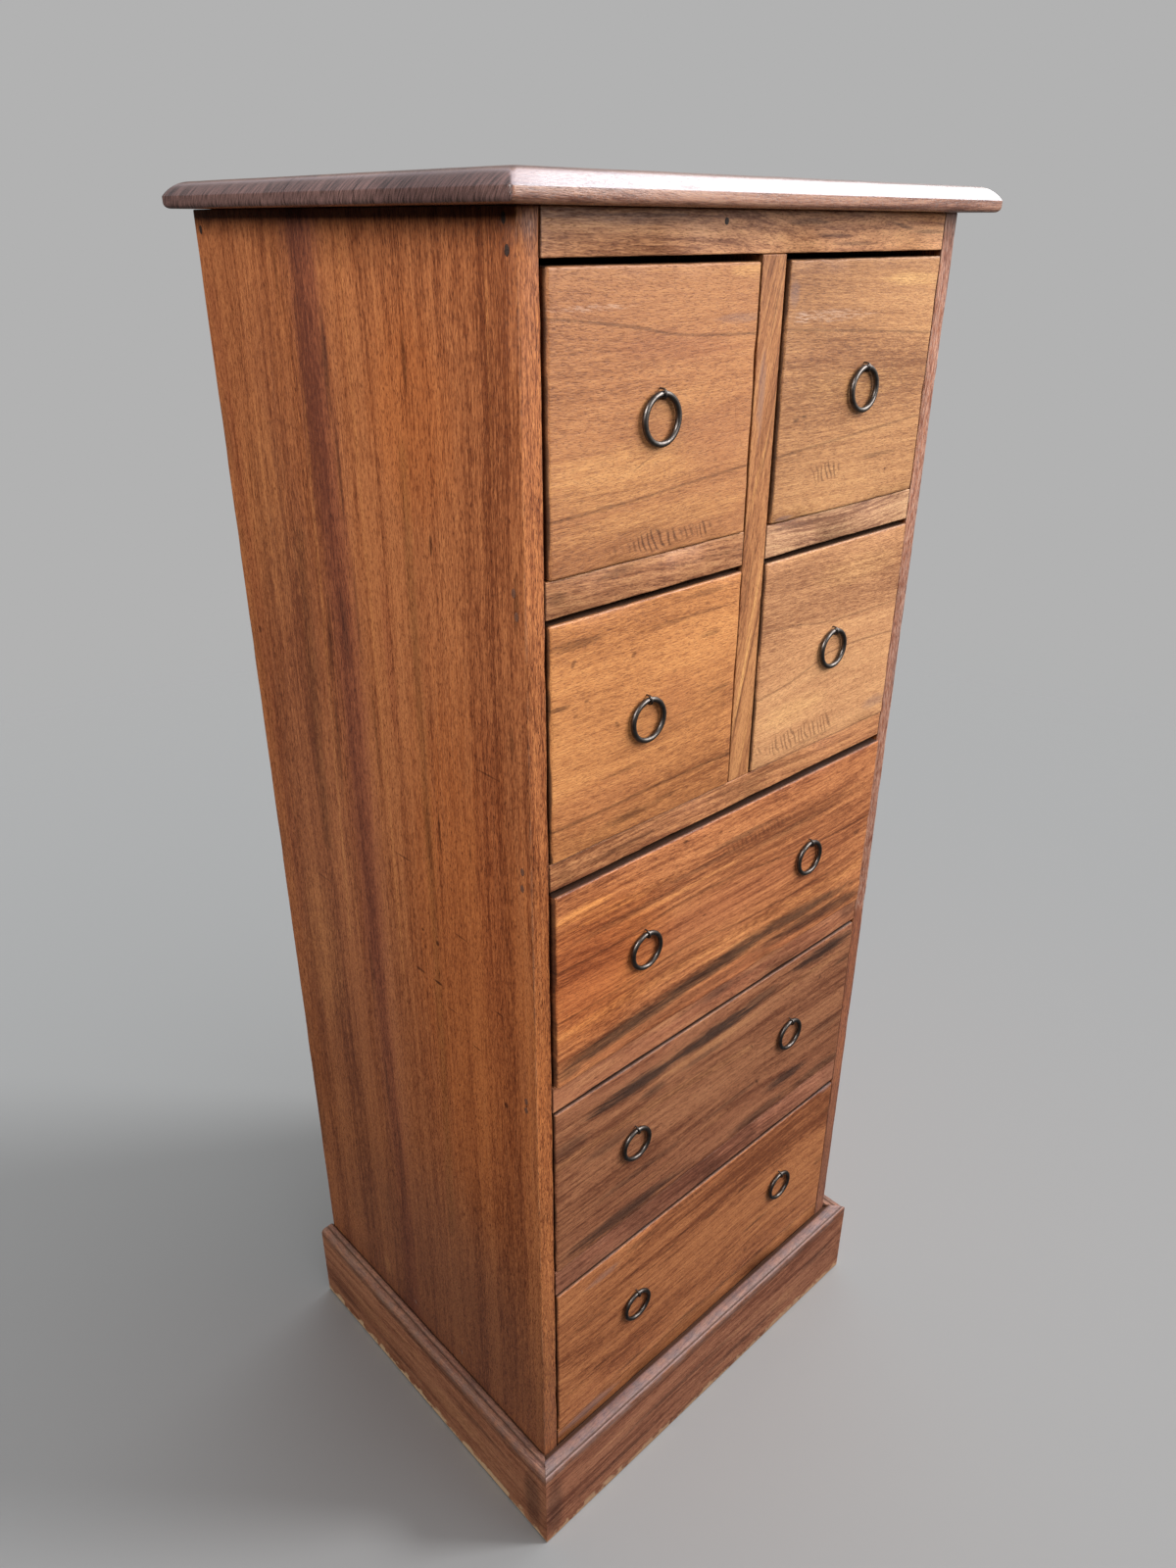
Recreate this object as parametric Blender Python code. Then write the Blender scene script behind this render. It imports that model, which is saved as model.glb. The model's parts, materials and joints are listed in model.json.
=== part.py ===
"""Tall apothecary chest: five rows of drawers with iron ring pulls in a nailed wooden carcass.

Metres, +Z up. The chest stands on Z = 0 and its front faces -Y. X = 0 and Y = 0 are the middle
of its outer box, which runs from the nose of the top board to the back edges of the sides.
"""
import math

import bmesh
import bpy
from mathutils import Vector

# Clearances
FIT = 0.0003  # between two pieces that touch
CUT_PAST = 0.002  # how far a cutter runs past the face that it opens
SHARP_ANGLE = 40.0  # degrees; an edge that bends more than this is shaded sharp

# Carcass
CARCASS_WIDTH = 0.479
CARCASS_DEPTH = 0.407
SIDE_THICKNESS = 0.0175
HOUSING_DEPTH = 0.006  # the dust boards and the back are let this far into the sides
BACK_THICKNESS = 0.010
BACK_FLOOR_GAP = 0.015
DIVIDER_THICKNESS = 0.027
RAIL_DEPTH = 0.045
DUST_BOARD_THICKNESS = 0.010
BOTTOM_BOARD_THICKNESS = 0.024
BOTTOM_BOARD_SHOWS = 0.0188  # its front edge, above the plinth

# Rows of drawers, from the top row down, and the rail under each row but the last
OPENING_HEIGHTS = (0.1966, 0.1929, 0.1950, 0.1967, 0.2017)
RAIL_HEIGHTS = (0.0273, 0.0253, 0.0277, 0.0316)
TOP_RAIL_HEIGHT = 0.0284
SPLIT_ROW_COUNT = 2  # the rows at the top that the divider parts in two

# Top board, with a thumb moulding round its edge
TOP_THICKNESS = 0.0192
TOP_SIDE_OVERHANG = 0.025
TOP_FRONT_OVERHANG = 0.026
TOP_NOSE_HEIGHT = 0.0086  # the moulding springs from this height above the underside
TOP_MOULDING_WIDTH = 0.020
TOP_LOWER_RADIUS = 0.004
MOULDING_STEPS = 8

# Plinth, a skirt mitred round the foot of the carcass
PLINTH_HEIGHT = 0.108
PLINTH_FRONT_THICKNESS = 0.021
PLINTH_SIDE_THICKNESS = 0.017
PLINTH_OUTER_RADIUS = 0.004  # of the two rounded edges along its top
PLINTH_INNER_RADIUS = 0.008
PLINTH_STEPS = 4

# Drawers
DRAWER_TOP_GAPS = (0.0040, 0.0035, 0.0035, 0.0020, 0.0020)
DRAWER_SIDE_GAPS = (0.0035, 0.0022, 0.0030, 0.0018, 0.0018)
DRAWER_PROUD = (0.0020, 0.0020, 0.0040, 0.0015, 0.0015)
FRONT_THICKNESS = 0.020
BOX_THICKNESS = 0.012
BOX_INSET = 0.0005  # the box stands this far inside each end of its front
BOX_DROP = 0.012  # the box is this much lower than its front
DRAWER_BOTTOM_THICKNESS = 0.006
DRAWER_BOTTOM_RAISE = 0.010
DRAWER_GROOVE_DEPTH = 0.005

# Ring pulls
RING_DIAMETER = 0.038
RING_WIRE = 0.0046
RING_FACE_GAP = 0.0005  # between the hanging ring and the drawer's face
RING_POINTS = 28
# The rings were placed by eye: how far each row's left and right ring is from the middle of its
# half of the row, and how far the hanging rings' centres are above the middle of the opening.
RING_SHIFTS = (
    (0.0002, 0.0049),
    (-0.0042, 0.0004),
    (0.0002, -0.0046),
    (-0.0021, -0.0022),
    (0.0062, 0.0090),
)
RING_LIFTS = (-0.0028, -0.0036, -0.0009, -0.0004, -0.0010)
EYE_WIRE = 0.0015
EYE_PLAY = 0.0003  # between the ring's wire and the eye
EYE_BEND_RADIUS = 0.0020
EYE_LEG = 0.008  # each end of the wire, turned over behind the drawer front
EYE_STEP = 18.0  # degrees, between the points of a bend
HOLE_SIDES = 16

# Places that follow from the sizes
FRONT = (TOP_FRONT_OVERHANG - CARCASS_DEPTH) / 2
BACK = FRONT + CARCASS_DEPTH
BACK_FACE = BACK - BACK_THICKNESS
HALF_WIDTH = CARCASS_WIDTH / 2
INNER = HALF_WIDTH - SIDE_THICKNESS
DIVIDER_FACE = DIVIDER_THICKNESS / 2
BEHIND_RAIL = FRONT + RAIL_DEPTH + FIT
HALVING = (BEHIND_RAIL + BACK_FACE) / 2  # the divider and the middle dust board cross here
BOTTOM_BOARD_TOP = PLINTH_HEIGHT + BOTTOM_BOARD_SHOWS


def row_floors():
    """Height of the rail or board that each row of drawers stands on, from the top row down."""
    floors = [BOTTOM_BOARD_TOP]
    for row in range(len(RAIL_HEIGHTS) - 1, -1, -1):
        floors.insert(0, floors[0] + OPENING_HEIGHTS[row + 1] + RAIL_HEIGHTS[row])
    return floors


FLOORS = row_floors()
TOP_RAIL_FOOT = FLOORS[0] + OPENING_HEIGHTS[0]
UNDERSIDE = TOP_RAIL_FOOT + TOP_RAIL_HEIGHT
RING_RADIUS = (RING_DIAMETER - RING_WIRE) / 2
EYE_RADIUS = (RING_WIRE + EYE_WIRE) / 2 + EYE_PLAY
RING_STANDOFF = RING_WIRE / 2 + RING_FACE_GAP  # from the drawer's face to the ring's pivot


def clear_scene():
    for old in list(bpy.data.objects):
        bpy.data.objects.remove(old, do_unlink=True)


def new_collection(name):
    collection = bpy.data.collections.new(name)
    bpy.context.scene.collection.children.link(collection)
    return collection


def surface(name, colour, roughness, metallic=0.0):
    material = bpy.data.materials.new(name)
    material.use_nodes = True
    shader = material.node_tree.nodes["Principled BSDF"]
    shader.inputs["Base Color"].default_value = (*colour, 1.0)
    shader.inputs["Roughness"].default_value = roughness
    shader.inputs["Metallic"].default_value = metallic
    material.diffuse_color = (*colour, 1.0)
    return material


def place(name, data, location, parent=None, material=None):
    """Add an object to the chest; location is in world space."""
    thing = bpy.data.objects.new(name, data)
    chest.objects.link(thing)
    thing.location = Vector(location)
    if parent:
        thing.parent = parent
        thing.location -= parent.location
    if material:
        data.materials.append(material)
    return thing


def box_mesh(name, low, high):
    """Mesh of a box about its own middle, and where that middle is."""
    low, high = Vector(low), Vector(high)
    shape = bmesh.new()
    bmesh.ops.create_cube(shape, size=1.0)
    bmesh.ops.scale(shape, vec=high - low, verts=shape.verts)
    mesh = bpy.data.meshes.new(name)
    shape.to_mesh(mesh)
    shape.free()
    return mesh, (low + high) / 2


def board(name, low, high, material, parent=None):
    mesh, middle = box_mesh(name, low, high)
    return place(name, mesh, middle, parent, material)


def shade_round(mesh):
    mesh.shade_smooth()
    mesh.set_sharp_from_angle(angle=math.radians(SHARP_ANGLE))


def cut_with(target, cutter):
    cutters.objects.link(cutter)
    cutter.hide_render = True
    cutter.display_type = "WIRE"
    boolean = target.modifiers.new(cutter.name, "BOOLEAN")
    boolean.operation = "DIFFERENCE"
    boolean.solver = "EXACT"
    boolean.object = cutter


def cut_box(target, name, low, high):
    mesh, middle = box_mesh(name, low, high)
    cutter = bpy.data.objects.new(name, mesh)
    cutter.location = middle
    cut_with(target, cutter)


def cut_hole(target, name, middle, radius, length):
    """Round hole along Y."""
    mesh = bpy.data.meshes.new(name)
    shape = bmesh.new()
    bmesh.ops.create_cone(
        shape, cap_ends=True, segments=HOLE_SIDES, radius1=radius, radius2=radius, depth=length
    )
    shape.to_mesh(mesh)
    shape.free()
    cutter = bpy.data.objects.new(name, mesh)
    cutter.location = middle
    cutter.rotation_euler.x = math.pi / 2
    cut_with(target, cutter)


def wire(name, points, thickness, location, parent, material, closed=False):
    """Round wire through points that are given about the object's own origin."""
    curve = bpy.data.curves.new(name, "CURVE")
    curve.dimensions = "3D"
    curve.bevel_depth = thickness / 2
    curve.bevel_resolution = 2
    curve.use_fill_caps = True
    spline = curve.splines.new("POLY")
    spline.points.add(len(points) - 1)
    for point, (x, y, z) in zip(spline.points, points):
        point.co = (x, y, z, 1.0)
    spline.use_cyclic_u = closed
    return place(name, curve, location, parent, material)


def arc(centre, radius, start, end, steps):
    """Points (across, up) on an arc; angles in degrees."""
    points = []
    for step in range(steps + 1):
        angle = math.radians(start + (end - start) * step / steps)
        points.append((centre[0] + radius * math.cos(angle), centre[1] + radius * math.sin(angle)))
    return points


def make_side(name, sign):
    """Side board with grooves for the dust boards and a rabbet for the back; sign is -1 on the left."""
    outer, inner = sign * HALF_WIDTH, sign * INNER
    low = (min(outer, inner), FRONT, 0.0)
    high = (max(outer, inner), BACK, UNDERSIDE - FIT)
    side = board(name, low, high, carcass_wood)
    past = inner - sign * CUT_PAST
    deep = inner + sign * HOUSING_DEPTH
    for row, floor in enumerate(FLOORS[:-1], start=1):
        cut_box(
            side,
            f"{name}_groove_{row}",
            (min(past, deep), BEHIND_RAIL, floor - DUST_BOARD_THICKNESS - FIT),
            (max(past, deep), BACK + CUT_PAST, floor + FIT),
        )
    cut_box(
        side,
        f"{name}_rabbet",
        (min(past, deep), BACK_FACE - FIT, -CUT_PAST),
        (max(past, deep), BACK + CUT_PAST, UNDERSIDE + CUT_PAST),
    )


def make_back():
    reach = INNER + HOUSING_DEPTH - FIT
    board(
        "back_panel",
        (-reach, BACK_FACE, BACK_FLOOR_GAP),
        (reach, BACK, UNDERSIDE - FIT),
        inner_wood,
    )


def make_rails():
    reach = INNER - FIT
    behind = FRONT + RAIL_DEPTH
    board("top_rail", (-reach, FRONT, TOP_RAIL_FOOT), (reach, behind, UNDERSIDE - FIT), rail_wood)
    foot, head = FLOORS[0] - RAIL_HEIGHTS[0], FLOORS[0]
    stop = DIVIDER_FACE + FIT
    board("mid_rail_left", (-reach, FRONT, foot), (-stop, behind, head), rail_wood)
    board("mid_rail_right", (stop, FRONT, foot), (reach, behind, head), rail_wood)
    for row in range(1, len(RAIL_HEIGHTS)):
        head = FLOORS[row]
        foot = head - RAIL_HEIGHTS[row]
        board(f"rail_{row + 2}", (-reach, FRONT, foot), (reach, behind, head), rail_wood)
    board(
        "bottom_board",
        (-reach, FRONT, BOTTOM_BOARD_TOP - BOTTOM_BOARD_THICKNESS),
        (reach, BACK_FACE - FIT, BOTTOM_BOARD_TOP),
        rail_wood,
    )


def make_dust_boards():
    """Boards behind the rails that the drawers run on, let into the sides."""
    reach = INNER + HOUSING_DEPTH - FIT
    for row, floor in enumerate(FLOORS[:-1]):
        name = f"dust_board_{row + 2}" if row else "mid_dust_board"
        low = (-reach, BEHIND_RAIL, floor - DUST_BOARD_THICKNESS)
        dust_board = board(name, low, (reach, BACK_FACE - FIT, floor), inner_wood)
        if row == 0:
            half_slot = DIVIDER_FACE + FIT
            cut_box(
                dust_board,
                "mid_dust_board_slot",
                (-half_slot, BEHIND_RAIL - CUT_PAST, floor - DUST_BOARD_THICKNESS - CUT_PAST),
                (half_slot, HALVING, floor + CUT_PAST),
            )


def make_divider():
    """Upright board between the small drawers, notched round the top rail and halved at the middle."""
    divider = board(
        "centre_divider",
        (-DIVIDER_FACE, FRONT, FLOORS[SPLIT_ROW_COUNT - 1] + FIT),
        (DIVIDER_FACE, BACK_FACE - FIT, UNDERSIDE - FIT),
        rail_wood,
    )
    past = DIVIDER_FACE + CUT_PAST
    cut_box(
        divider,
        "divider_notch",
        (-past, FRONT - CUT_PAST, TOP_RAIL_FOOT - FIT),
        (past, BEHIND_RAIL, UNDERSIDE + CUT_PAST),
    )
    cut_box(
        divider,
        "divider_slot",
        (-past, HALVING - FIT, FLOORS[0] - DUST_BOARD_THICKNESS - FIT),
        (past, BACK + CUT_PAST, FLOORS[0] + FIT),
    )


def top_profile():
    """Edge of the top board from underside to top, as (inset from the nose, height) pairs."""
    radius = TOP_LOWER_RADIUS
    points = arc((radius, radius), radius, 270, 180, MOULDING_STEPS // 2)
    rise = TOP_THICKNESS - TOP_NOSE_HEIGHT
    for step in range(MOULDING_STEPS + 1):
        angle = math.pi / 2 * step / MOULDING_STEPS
        inset = TOP_MOULDING_WIDTH * (1 - math.cos(angle))
        points.append((inset, TOP_NOSE_HEIGHT + rise * math.sin(angle)))
    return points


def make_top():
    """Rectangle extruded upwards step by step, drawn in to follow the moulding."""
    half_x = HALF_WIDTH + TOP_SIDE_OVERHANG
    half_y = (CARCASS_DEPTH + TOP_FRONT_OVERHANG) / 2
    shape = bmesh.new()
    bmesh.ops.create_grid(shape, x_segments=1, y_segments=1, size=1.0)
    face = shape.faces[:][0]
    for number, (inset, height) in enumerate(top_profile()):
        if number:
            region = [face, *face.edges]
            grown = bmesh.ops.extrude_face_region(shape, geom=region)["geom"]
            face = [item for item in grown if isinstance(item, bmesh.types.BMFace)][0]
        for corner in face.verts:
            corner.co.x = math.copysign(half_x - inset, corner.co.x)
            corner.co.y = math.copysign(half_y - inset, corner.co.y)
            corner.co.z = height
    bmesh.ops.recalc_face_normals(shape, faces=shape.faces)
    mesh = bpy.data.meshes.new("top_board")
    shape.to_mesh(mesh)
    shape.free()
    shade_round(mesh)
    place("top_board", mesh, (0.0, BACK - half_y, UNDERSIDE), None, carcass_wood)


def round_edge(shape, is_end, radius):
    """Round the one edge whose two ends is_end picks out."""
    edges = [edge for edge in shape.edges if all(is_end(corner.co) for corner in edge.verts)]
    bmesh.ops.bevel(
        shape, geom=edges, offset=radius, segments=PLINTH_STEPS, profile=0.5, affect="EDGES"
    )


def make_plinth_board(name, low, high, mitre, outwards):
    """Board with mitred ends and both edges along its top rounded.

    mitre moves the corners of the box, given about its middle; outwards points away from the carcass.
    """
    mesh, middle = box_mesh(name, low, high)
    shape = bmesh.new()
    shape.from_mesh(mesh)
    for corner in shape.verts:
        mitre(corner.co)
    round_edge(shape, lambda co: co.z > 0 and co.dot(outwards) > 0, PLINTH_OUTER_RADIUS)
    round_edge(shape, lambda co: co.z > 0 and co.dot(outwards) < 0, PLINTH_INNER_RADIUS)
    shape.to_mesh(mesh)
    shape.free()
    shade_round(mesh)
    place(name, mesh, middle, None, plinth_wood)


def make_plinth():
    """Front length between mitres, and a return along each side to the back."""

    def mitre_front(corner):
        if corner.y > 0:
            corner.x -= math.copysign(PLINTH_SIDE_THICKNESS, corner.x)

    reach = HALF_WIDTH + PLINTH_SIDE_THICKNESS
    make_plinth_board(
        "plinth_front",
        (-reach, FRONT - FIT - PLINTH_FRONT_THICKNESS, 0.0),
        (reach, FRONT - FIT, PLINTH_HEIGHT),
        mitre_front,
        Vector((0.0, -1.0, 0.0)),
    )
    for name, sign in (("plinth_left", -1), ("plinth_right", 1)):

        def mitre_return(corner, sign=sign):
            if corner.y < 0 and sign * corner.x < 0:
                corner.y += PLINTH_FRONT_THICKNESS

        inner, outer = sign * (HALF_WIDTH + FIT), sign * (reach + FIT)
        make_plinth_board(
            name,
            (min(inner, outer), FRONT - PLINTH_FRONT_THICKNESS, 0.0),
            (max(inner, outer), BACK, PLINTH_HEIGHT),
            mitre_return,
            Vector((sign, 0.0, 0.0)),
        )


def eye_points():
    """Wire of an eye about the ring's pivot: a staple whose ends are turned over behind the front."""
    shank = RING_STANDOFF + FRONT_THICKNESS + FIT
    bend = EYE_BEND_RADIUS
    turn = EYE_RADIUS + bend
    path = [(shank + bend, turn + EYE_LEG)]
    path += arc((shank, turn), bend, 0, -90, round(90 / EYE_STEP))
    path += arc((0.0, 0.0), EYE_RADIUS, 90, 270, round(180 / EYE_STEP))
    path += arc((shank, -turn), bend, 90, 0, round(90 / EYE_STEP))
    path.append((shank + bend, -turn - EYE_LEG))
    return [(0.0, across, up) for across, up in path]


def ring_points():
    """Ring hanging from the pivot at its own origin."""
    points = []
    for step in range(RING_POINTS):
        angle = math.tau * step / RING_POINTS
        points.append((RING_RADIUS * math.sin(angle), 0.0, RING_RADIUS * (math.cos(angle) - 1)))
    return points


def make_pull(prefix, suffix, front, pivot, runner):
    """Eye through a drawer front and the ring that hangs in it."""
    for leg, height in (("upper", EYE_RADIUS), ("lower", -EYE_RADIUS)):
        cut_hole(
            front,
            f"{prefix}_{leg}_hole{suffix}",
            pivot + Vector((0.0, RING_STANDOFF + FRONT_THICKNESS / 2, height)),
            EYE_WIRE / 2 + FIT,
            FRONT_THICKNESS + 2 * CUT_PAST,
        )
    wire(f"{prefix}_eye{suffix}", eye_points(), EYE_WIRE, pivot, runner, iron)
    wire(f"{prefix}_ring{suffix}", ring_points(), RING_WIRE, pivot, runner, iron, closed=True)


def make_drawer(prefix, row, left, right, pulls):
    """Drawer in an opening from left to right; pulls lists (suffix, x) of its rings."""
    floor = FLOORS[row] + FIT
    left += DRAWER_SIDE_GAPS[row]
    right -= DRAWER_SIDE_GAPS[row]
    top = FLOORS[row] + OPENING_HEIGHTS[row] - DRAWER_TOP_GAPS[row]
    face = FRONT - DRAWER_PROUD[row]
    behind = face + FRONT_THICKNESS

    runner = bpy.data.objects.new(f"{prefix}_runner", None)
    chest.objects.link(runner)
    runner.location = ((left + right) / 2, face, floor)

    front = board(f"{prefix}_front", (left, face, floor), (right, behind, top), front_wood, runner)

    box_left, box_right = left + BOX_INSET, right - BOX_INSET
    box_top = top - BOX_DROP
    box_back = BACK_FACE - FIT
    box = board(
        f"{prefix}_box",
        (box_left, behind + FIT, floor),
        (box_right, box_back, box_top),
        inner_wood,
        runner,
    )
    inner_left, inner_right = box_left + BOX_THICKNESS, box_right - BOX_THICKNESS
    cut_box(
        box,
        f"{prefix}_hollow",
        (inner_left, behind - CUT_PAST, floor - CUT_PAST),
        (inner_right, box_back - BOX_THICKNESS, box_top + CUT_PAST),
    )
    lower = floor + DRAWER_BOTTOM_RAISE
    upper = lower + DRAWER_BOTTOM_THICKNESS
    deep = DRAWER_GROOVE_DEPTH
    cut_box(
        box,
        f"{prefix}_box_groove",
        (inner_left - deep, behind - CUT_PAST, lower - FIT),
        (inner_right + deep, box_back - BOX_THICKNESS + deep, upper + FIT),
    )
    cut_box(
        front,
        f"{prefix}_front_groove",
        (inner_left - deep, behind - deep, lower - FIT),
        (inner_right + deep, behind + CUT_PAST, upper + FIT),
    )
    board(
        f"{prefix}_bottom",
        (inner_left - deep + FIT, behind - deep + FIT, lower),
        (inner_right + deep - FIT, box_back - BOX_THICKNESS + deep - FIT, upper),
        inner_wood,
        runner,
    )
    pivot_height = FLOORS[row] + OPENING_HEIGHTS[row] / 2 + RING_LIFTS[row] + RING_RADIUS
    for suffix, across in pulls:
        make_pull(prefix, suffix, front, Vector((across, face - RING_STANDOFF, pivot_height)), runner)


def make_drawers():
    """Two small drawers side by side in each split row, then one wide drawer in each row below."""
    middle = (DIVIDER_FACE + INNER) / 2
    for row, (left_shift, right_shift) in enumerate(RING_SHIFTS):
        prefix = f"drawer_{row + 1}"
        left_ring, right_ring = left_shift - middle, right_shift + middle
        if row < SPLIT_ROW_COUNT:
            make_drawer(f"{prefix}_left", row, -INNER, -DIVIDER_FACE, [("", left_ring)])
            make_drawer(f"{prefix}_right", row, DIVIDER_FACE, INNER, [("", right_ring)])
        else:
            make_drawer(prefix, row, -INNER, INNER, [("_left", left_ring), ("_right", right_ring)])


clear_scene()
chest = new_collection("apothecary_chest")
cutters = new_collection("cutters")
carcass_wood = surface("carcass_wood", (0.30, 0.13, 0.055), 0.42)
rail_wood = surface("rail_wood", (0.36, 0.17, 0.075), 0.45)
front_wood = surface("front_wood", (0.42, 0.19, 0.075), 0.42)
plinth_wood = surface("plinth_wood", (0.16, 0.065, 0.035), 0.40)
inner_wood = surface("inner_wood", (0.42, 0.27, 0.15), 0.70)
iron = surface("iron", (0.05, 0.05, 0.052), 0.38, 1.0)
make_side("left_side", -1)
make_side("right_side", 1)
make_back()
make_rails()
make_dust_boards()
make_divider()
make_top()
make_plinth()
make_drawers()
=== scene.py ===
"""Looks of the apothecary chest: worn, polished boards, dark streaks, iron ring pulls, plain studio.

Every board is modelled in its own place in the frame, so a material's Object coordinates are the
chest's own metres: X to the right, Y to the back, Z up.
"""
import json
import math
from collections import namedtuple

import bmesh
import bpy
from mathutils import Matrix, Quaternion, Vector, noise

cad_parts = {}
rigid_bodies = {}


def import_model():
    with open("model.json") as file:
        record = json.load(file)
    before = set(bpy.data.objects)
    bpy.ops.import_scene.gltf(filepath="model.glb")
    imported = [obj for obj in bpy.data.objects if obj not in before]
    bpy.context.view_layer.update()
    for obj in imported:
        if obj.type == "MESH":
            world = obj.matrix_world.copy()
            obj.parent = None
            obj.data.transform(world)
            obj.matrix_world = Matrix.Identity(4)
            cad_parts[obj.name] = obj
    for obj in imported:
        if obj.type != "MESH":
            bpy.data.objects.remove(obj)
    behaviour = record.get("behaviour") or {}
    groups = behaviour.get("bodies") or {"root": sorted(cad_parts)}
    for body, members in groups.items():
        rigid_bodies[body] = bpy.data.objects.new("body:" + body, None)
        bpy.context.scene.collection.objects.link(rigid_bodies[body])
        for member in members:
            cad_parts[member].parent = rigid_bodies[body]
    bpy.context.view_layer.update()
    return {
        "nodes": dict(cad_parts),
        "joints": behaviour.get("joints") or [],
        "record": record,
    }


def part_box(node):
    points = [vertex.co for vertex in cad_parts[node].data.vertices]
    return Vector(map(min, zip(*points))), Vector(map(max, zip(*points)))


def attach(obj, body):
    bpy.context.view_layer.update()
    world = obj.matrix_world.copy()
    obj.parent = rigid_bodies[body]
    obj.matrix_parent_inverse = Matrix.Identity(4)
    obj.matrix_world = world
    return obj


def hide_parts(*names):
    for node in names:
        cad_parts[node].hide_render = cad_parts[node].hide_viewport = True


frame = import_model()

# Camera, as the photograph was taken
CAMERA_PLACE = Vector((-0.69725, -0.73802, 1.23913))
CAMERA_AIM = Vector((0.61246, 0.65040, -0.44931))
CAMERA_ROLL = 0.211  # degrees
CAMERA_LENS = 25.5  # mm, for the sensor below
CAMERA_SENSOR = 36.0  # mm along its longer side

# Light
BACKDROP_GREY = 0.445
SKY_STRENGTH = 1.08
SKY_BRIGHT_SIDE = (0.894, -0.447, 0.0)
# Share of the sky's light that is even, share that leans to the bright side, and how fast it falls off
SKY_EVEN, SKY_TILT, SKY_FALL = 0.56, 0.44, 1.9
SUN_FROM = Vector((0.6275, -0.5266, 0.5736))
SUN_STRENGTH = 1.05
SUN_SPREAD = 13.0  # degrees across
SUN_DISTANCE = 4.0
SOFTBOXES = (  # name, place, target, width and height in metres and power in watts
    ("left_overhead", (-1.6, -0.5, 2.0), (-0.24, 0.0, 0.80), (0.8, 0.8), 36.0),
    ("front_right", (0.65, -1.45, 1.75), (0.0, -0.19, 0.95), (1.0, 1.0), 25.0),
    ("right_window", (2.05, -0.4, 2.75), (0.0, -0.2, 1.26), (2.2, 1.7), 78.0),
)

# Boards
ARRIS = 0.0009  # radius of the carcass boards' edges
FRONT_ARRIS = 0.0016  # of the drawer fronts' edges
BOX_ARRIS = 0.0007
ARRIS_STEPS = 3
ARRIS_HOLD = 1.7  # radii from an edge at which a face is cut, to hold it flat
ON_FACE = 1.2  # radii from a face within which a point moves with it
SHARP_ANGLE = math.radians(50)  # an edge that turns further stays sharp
GRID_FRONT = 0.012  # how closely a board's faces are divided
GRID_SIDE = 0.020
GRID_BOX = 0.030
WAVE = 0.0003  # how far a planed face dips
WAVE_SCALE = 9.0  # dips in a metre, about
KNOCK = 0.0006  # how much wood an arris loses where it was knocked
KNOCK_SCALE, KNOCK_GAIN = 55.0, 1.6
WEAR_SHIFT = (3.1, 1.7, 2.3)  # how far a seed of 1 moves the dips and knocks
BOX_WALL = 0.012
JOINT_HALF = 1.6  # mm, half the width of the dark line where a rail meets an upright
JOINT_STRENGTH = 0.85

# Axes of a board's grain: along it, across it on the face that shows, and into the board
ACROSS_FRONT = "XZY"
UP_SIDE = "ZYX"
UP_MUNTIN = "ZXY"
ALONG_SIDE = "YZX"
ACROSS_TOP = "XYZ"

MM = 0.001

# Marks in the wood, all in millimetres. A streak has its middle along and across the grain, half
# its length and width, its strength and its slope; a seam follows points along and across; a
# ripple is a row of short strokes that a dull plane left
Mark = namedtuple("Mark", "along across length width strength slope", defaults=(0.0,))
Seam = namedtuple("Seam", "points width strength")
Ripple = namedtuple("Ripple", "along across length width strength")

# Sockets that a Mix node uses for colours
MIX_COLOUR_INPUTS = (0, 6, 7)
MIX_COLOUR_OUTPUT = 2


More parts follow.
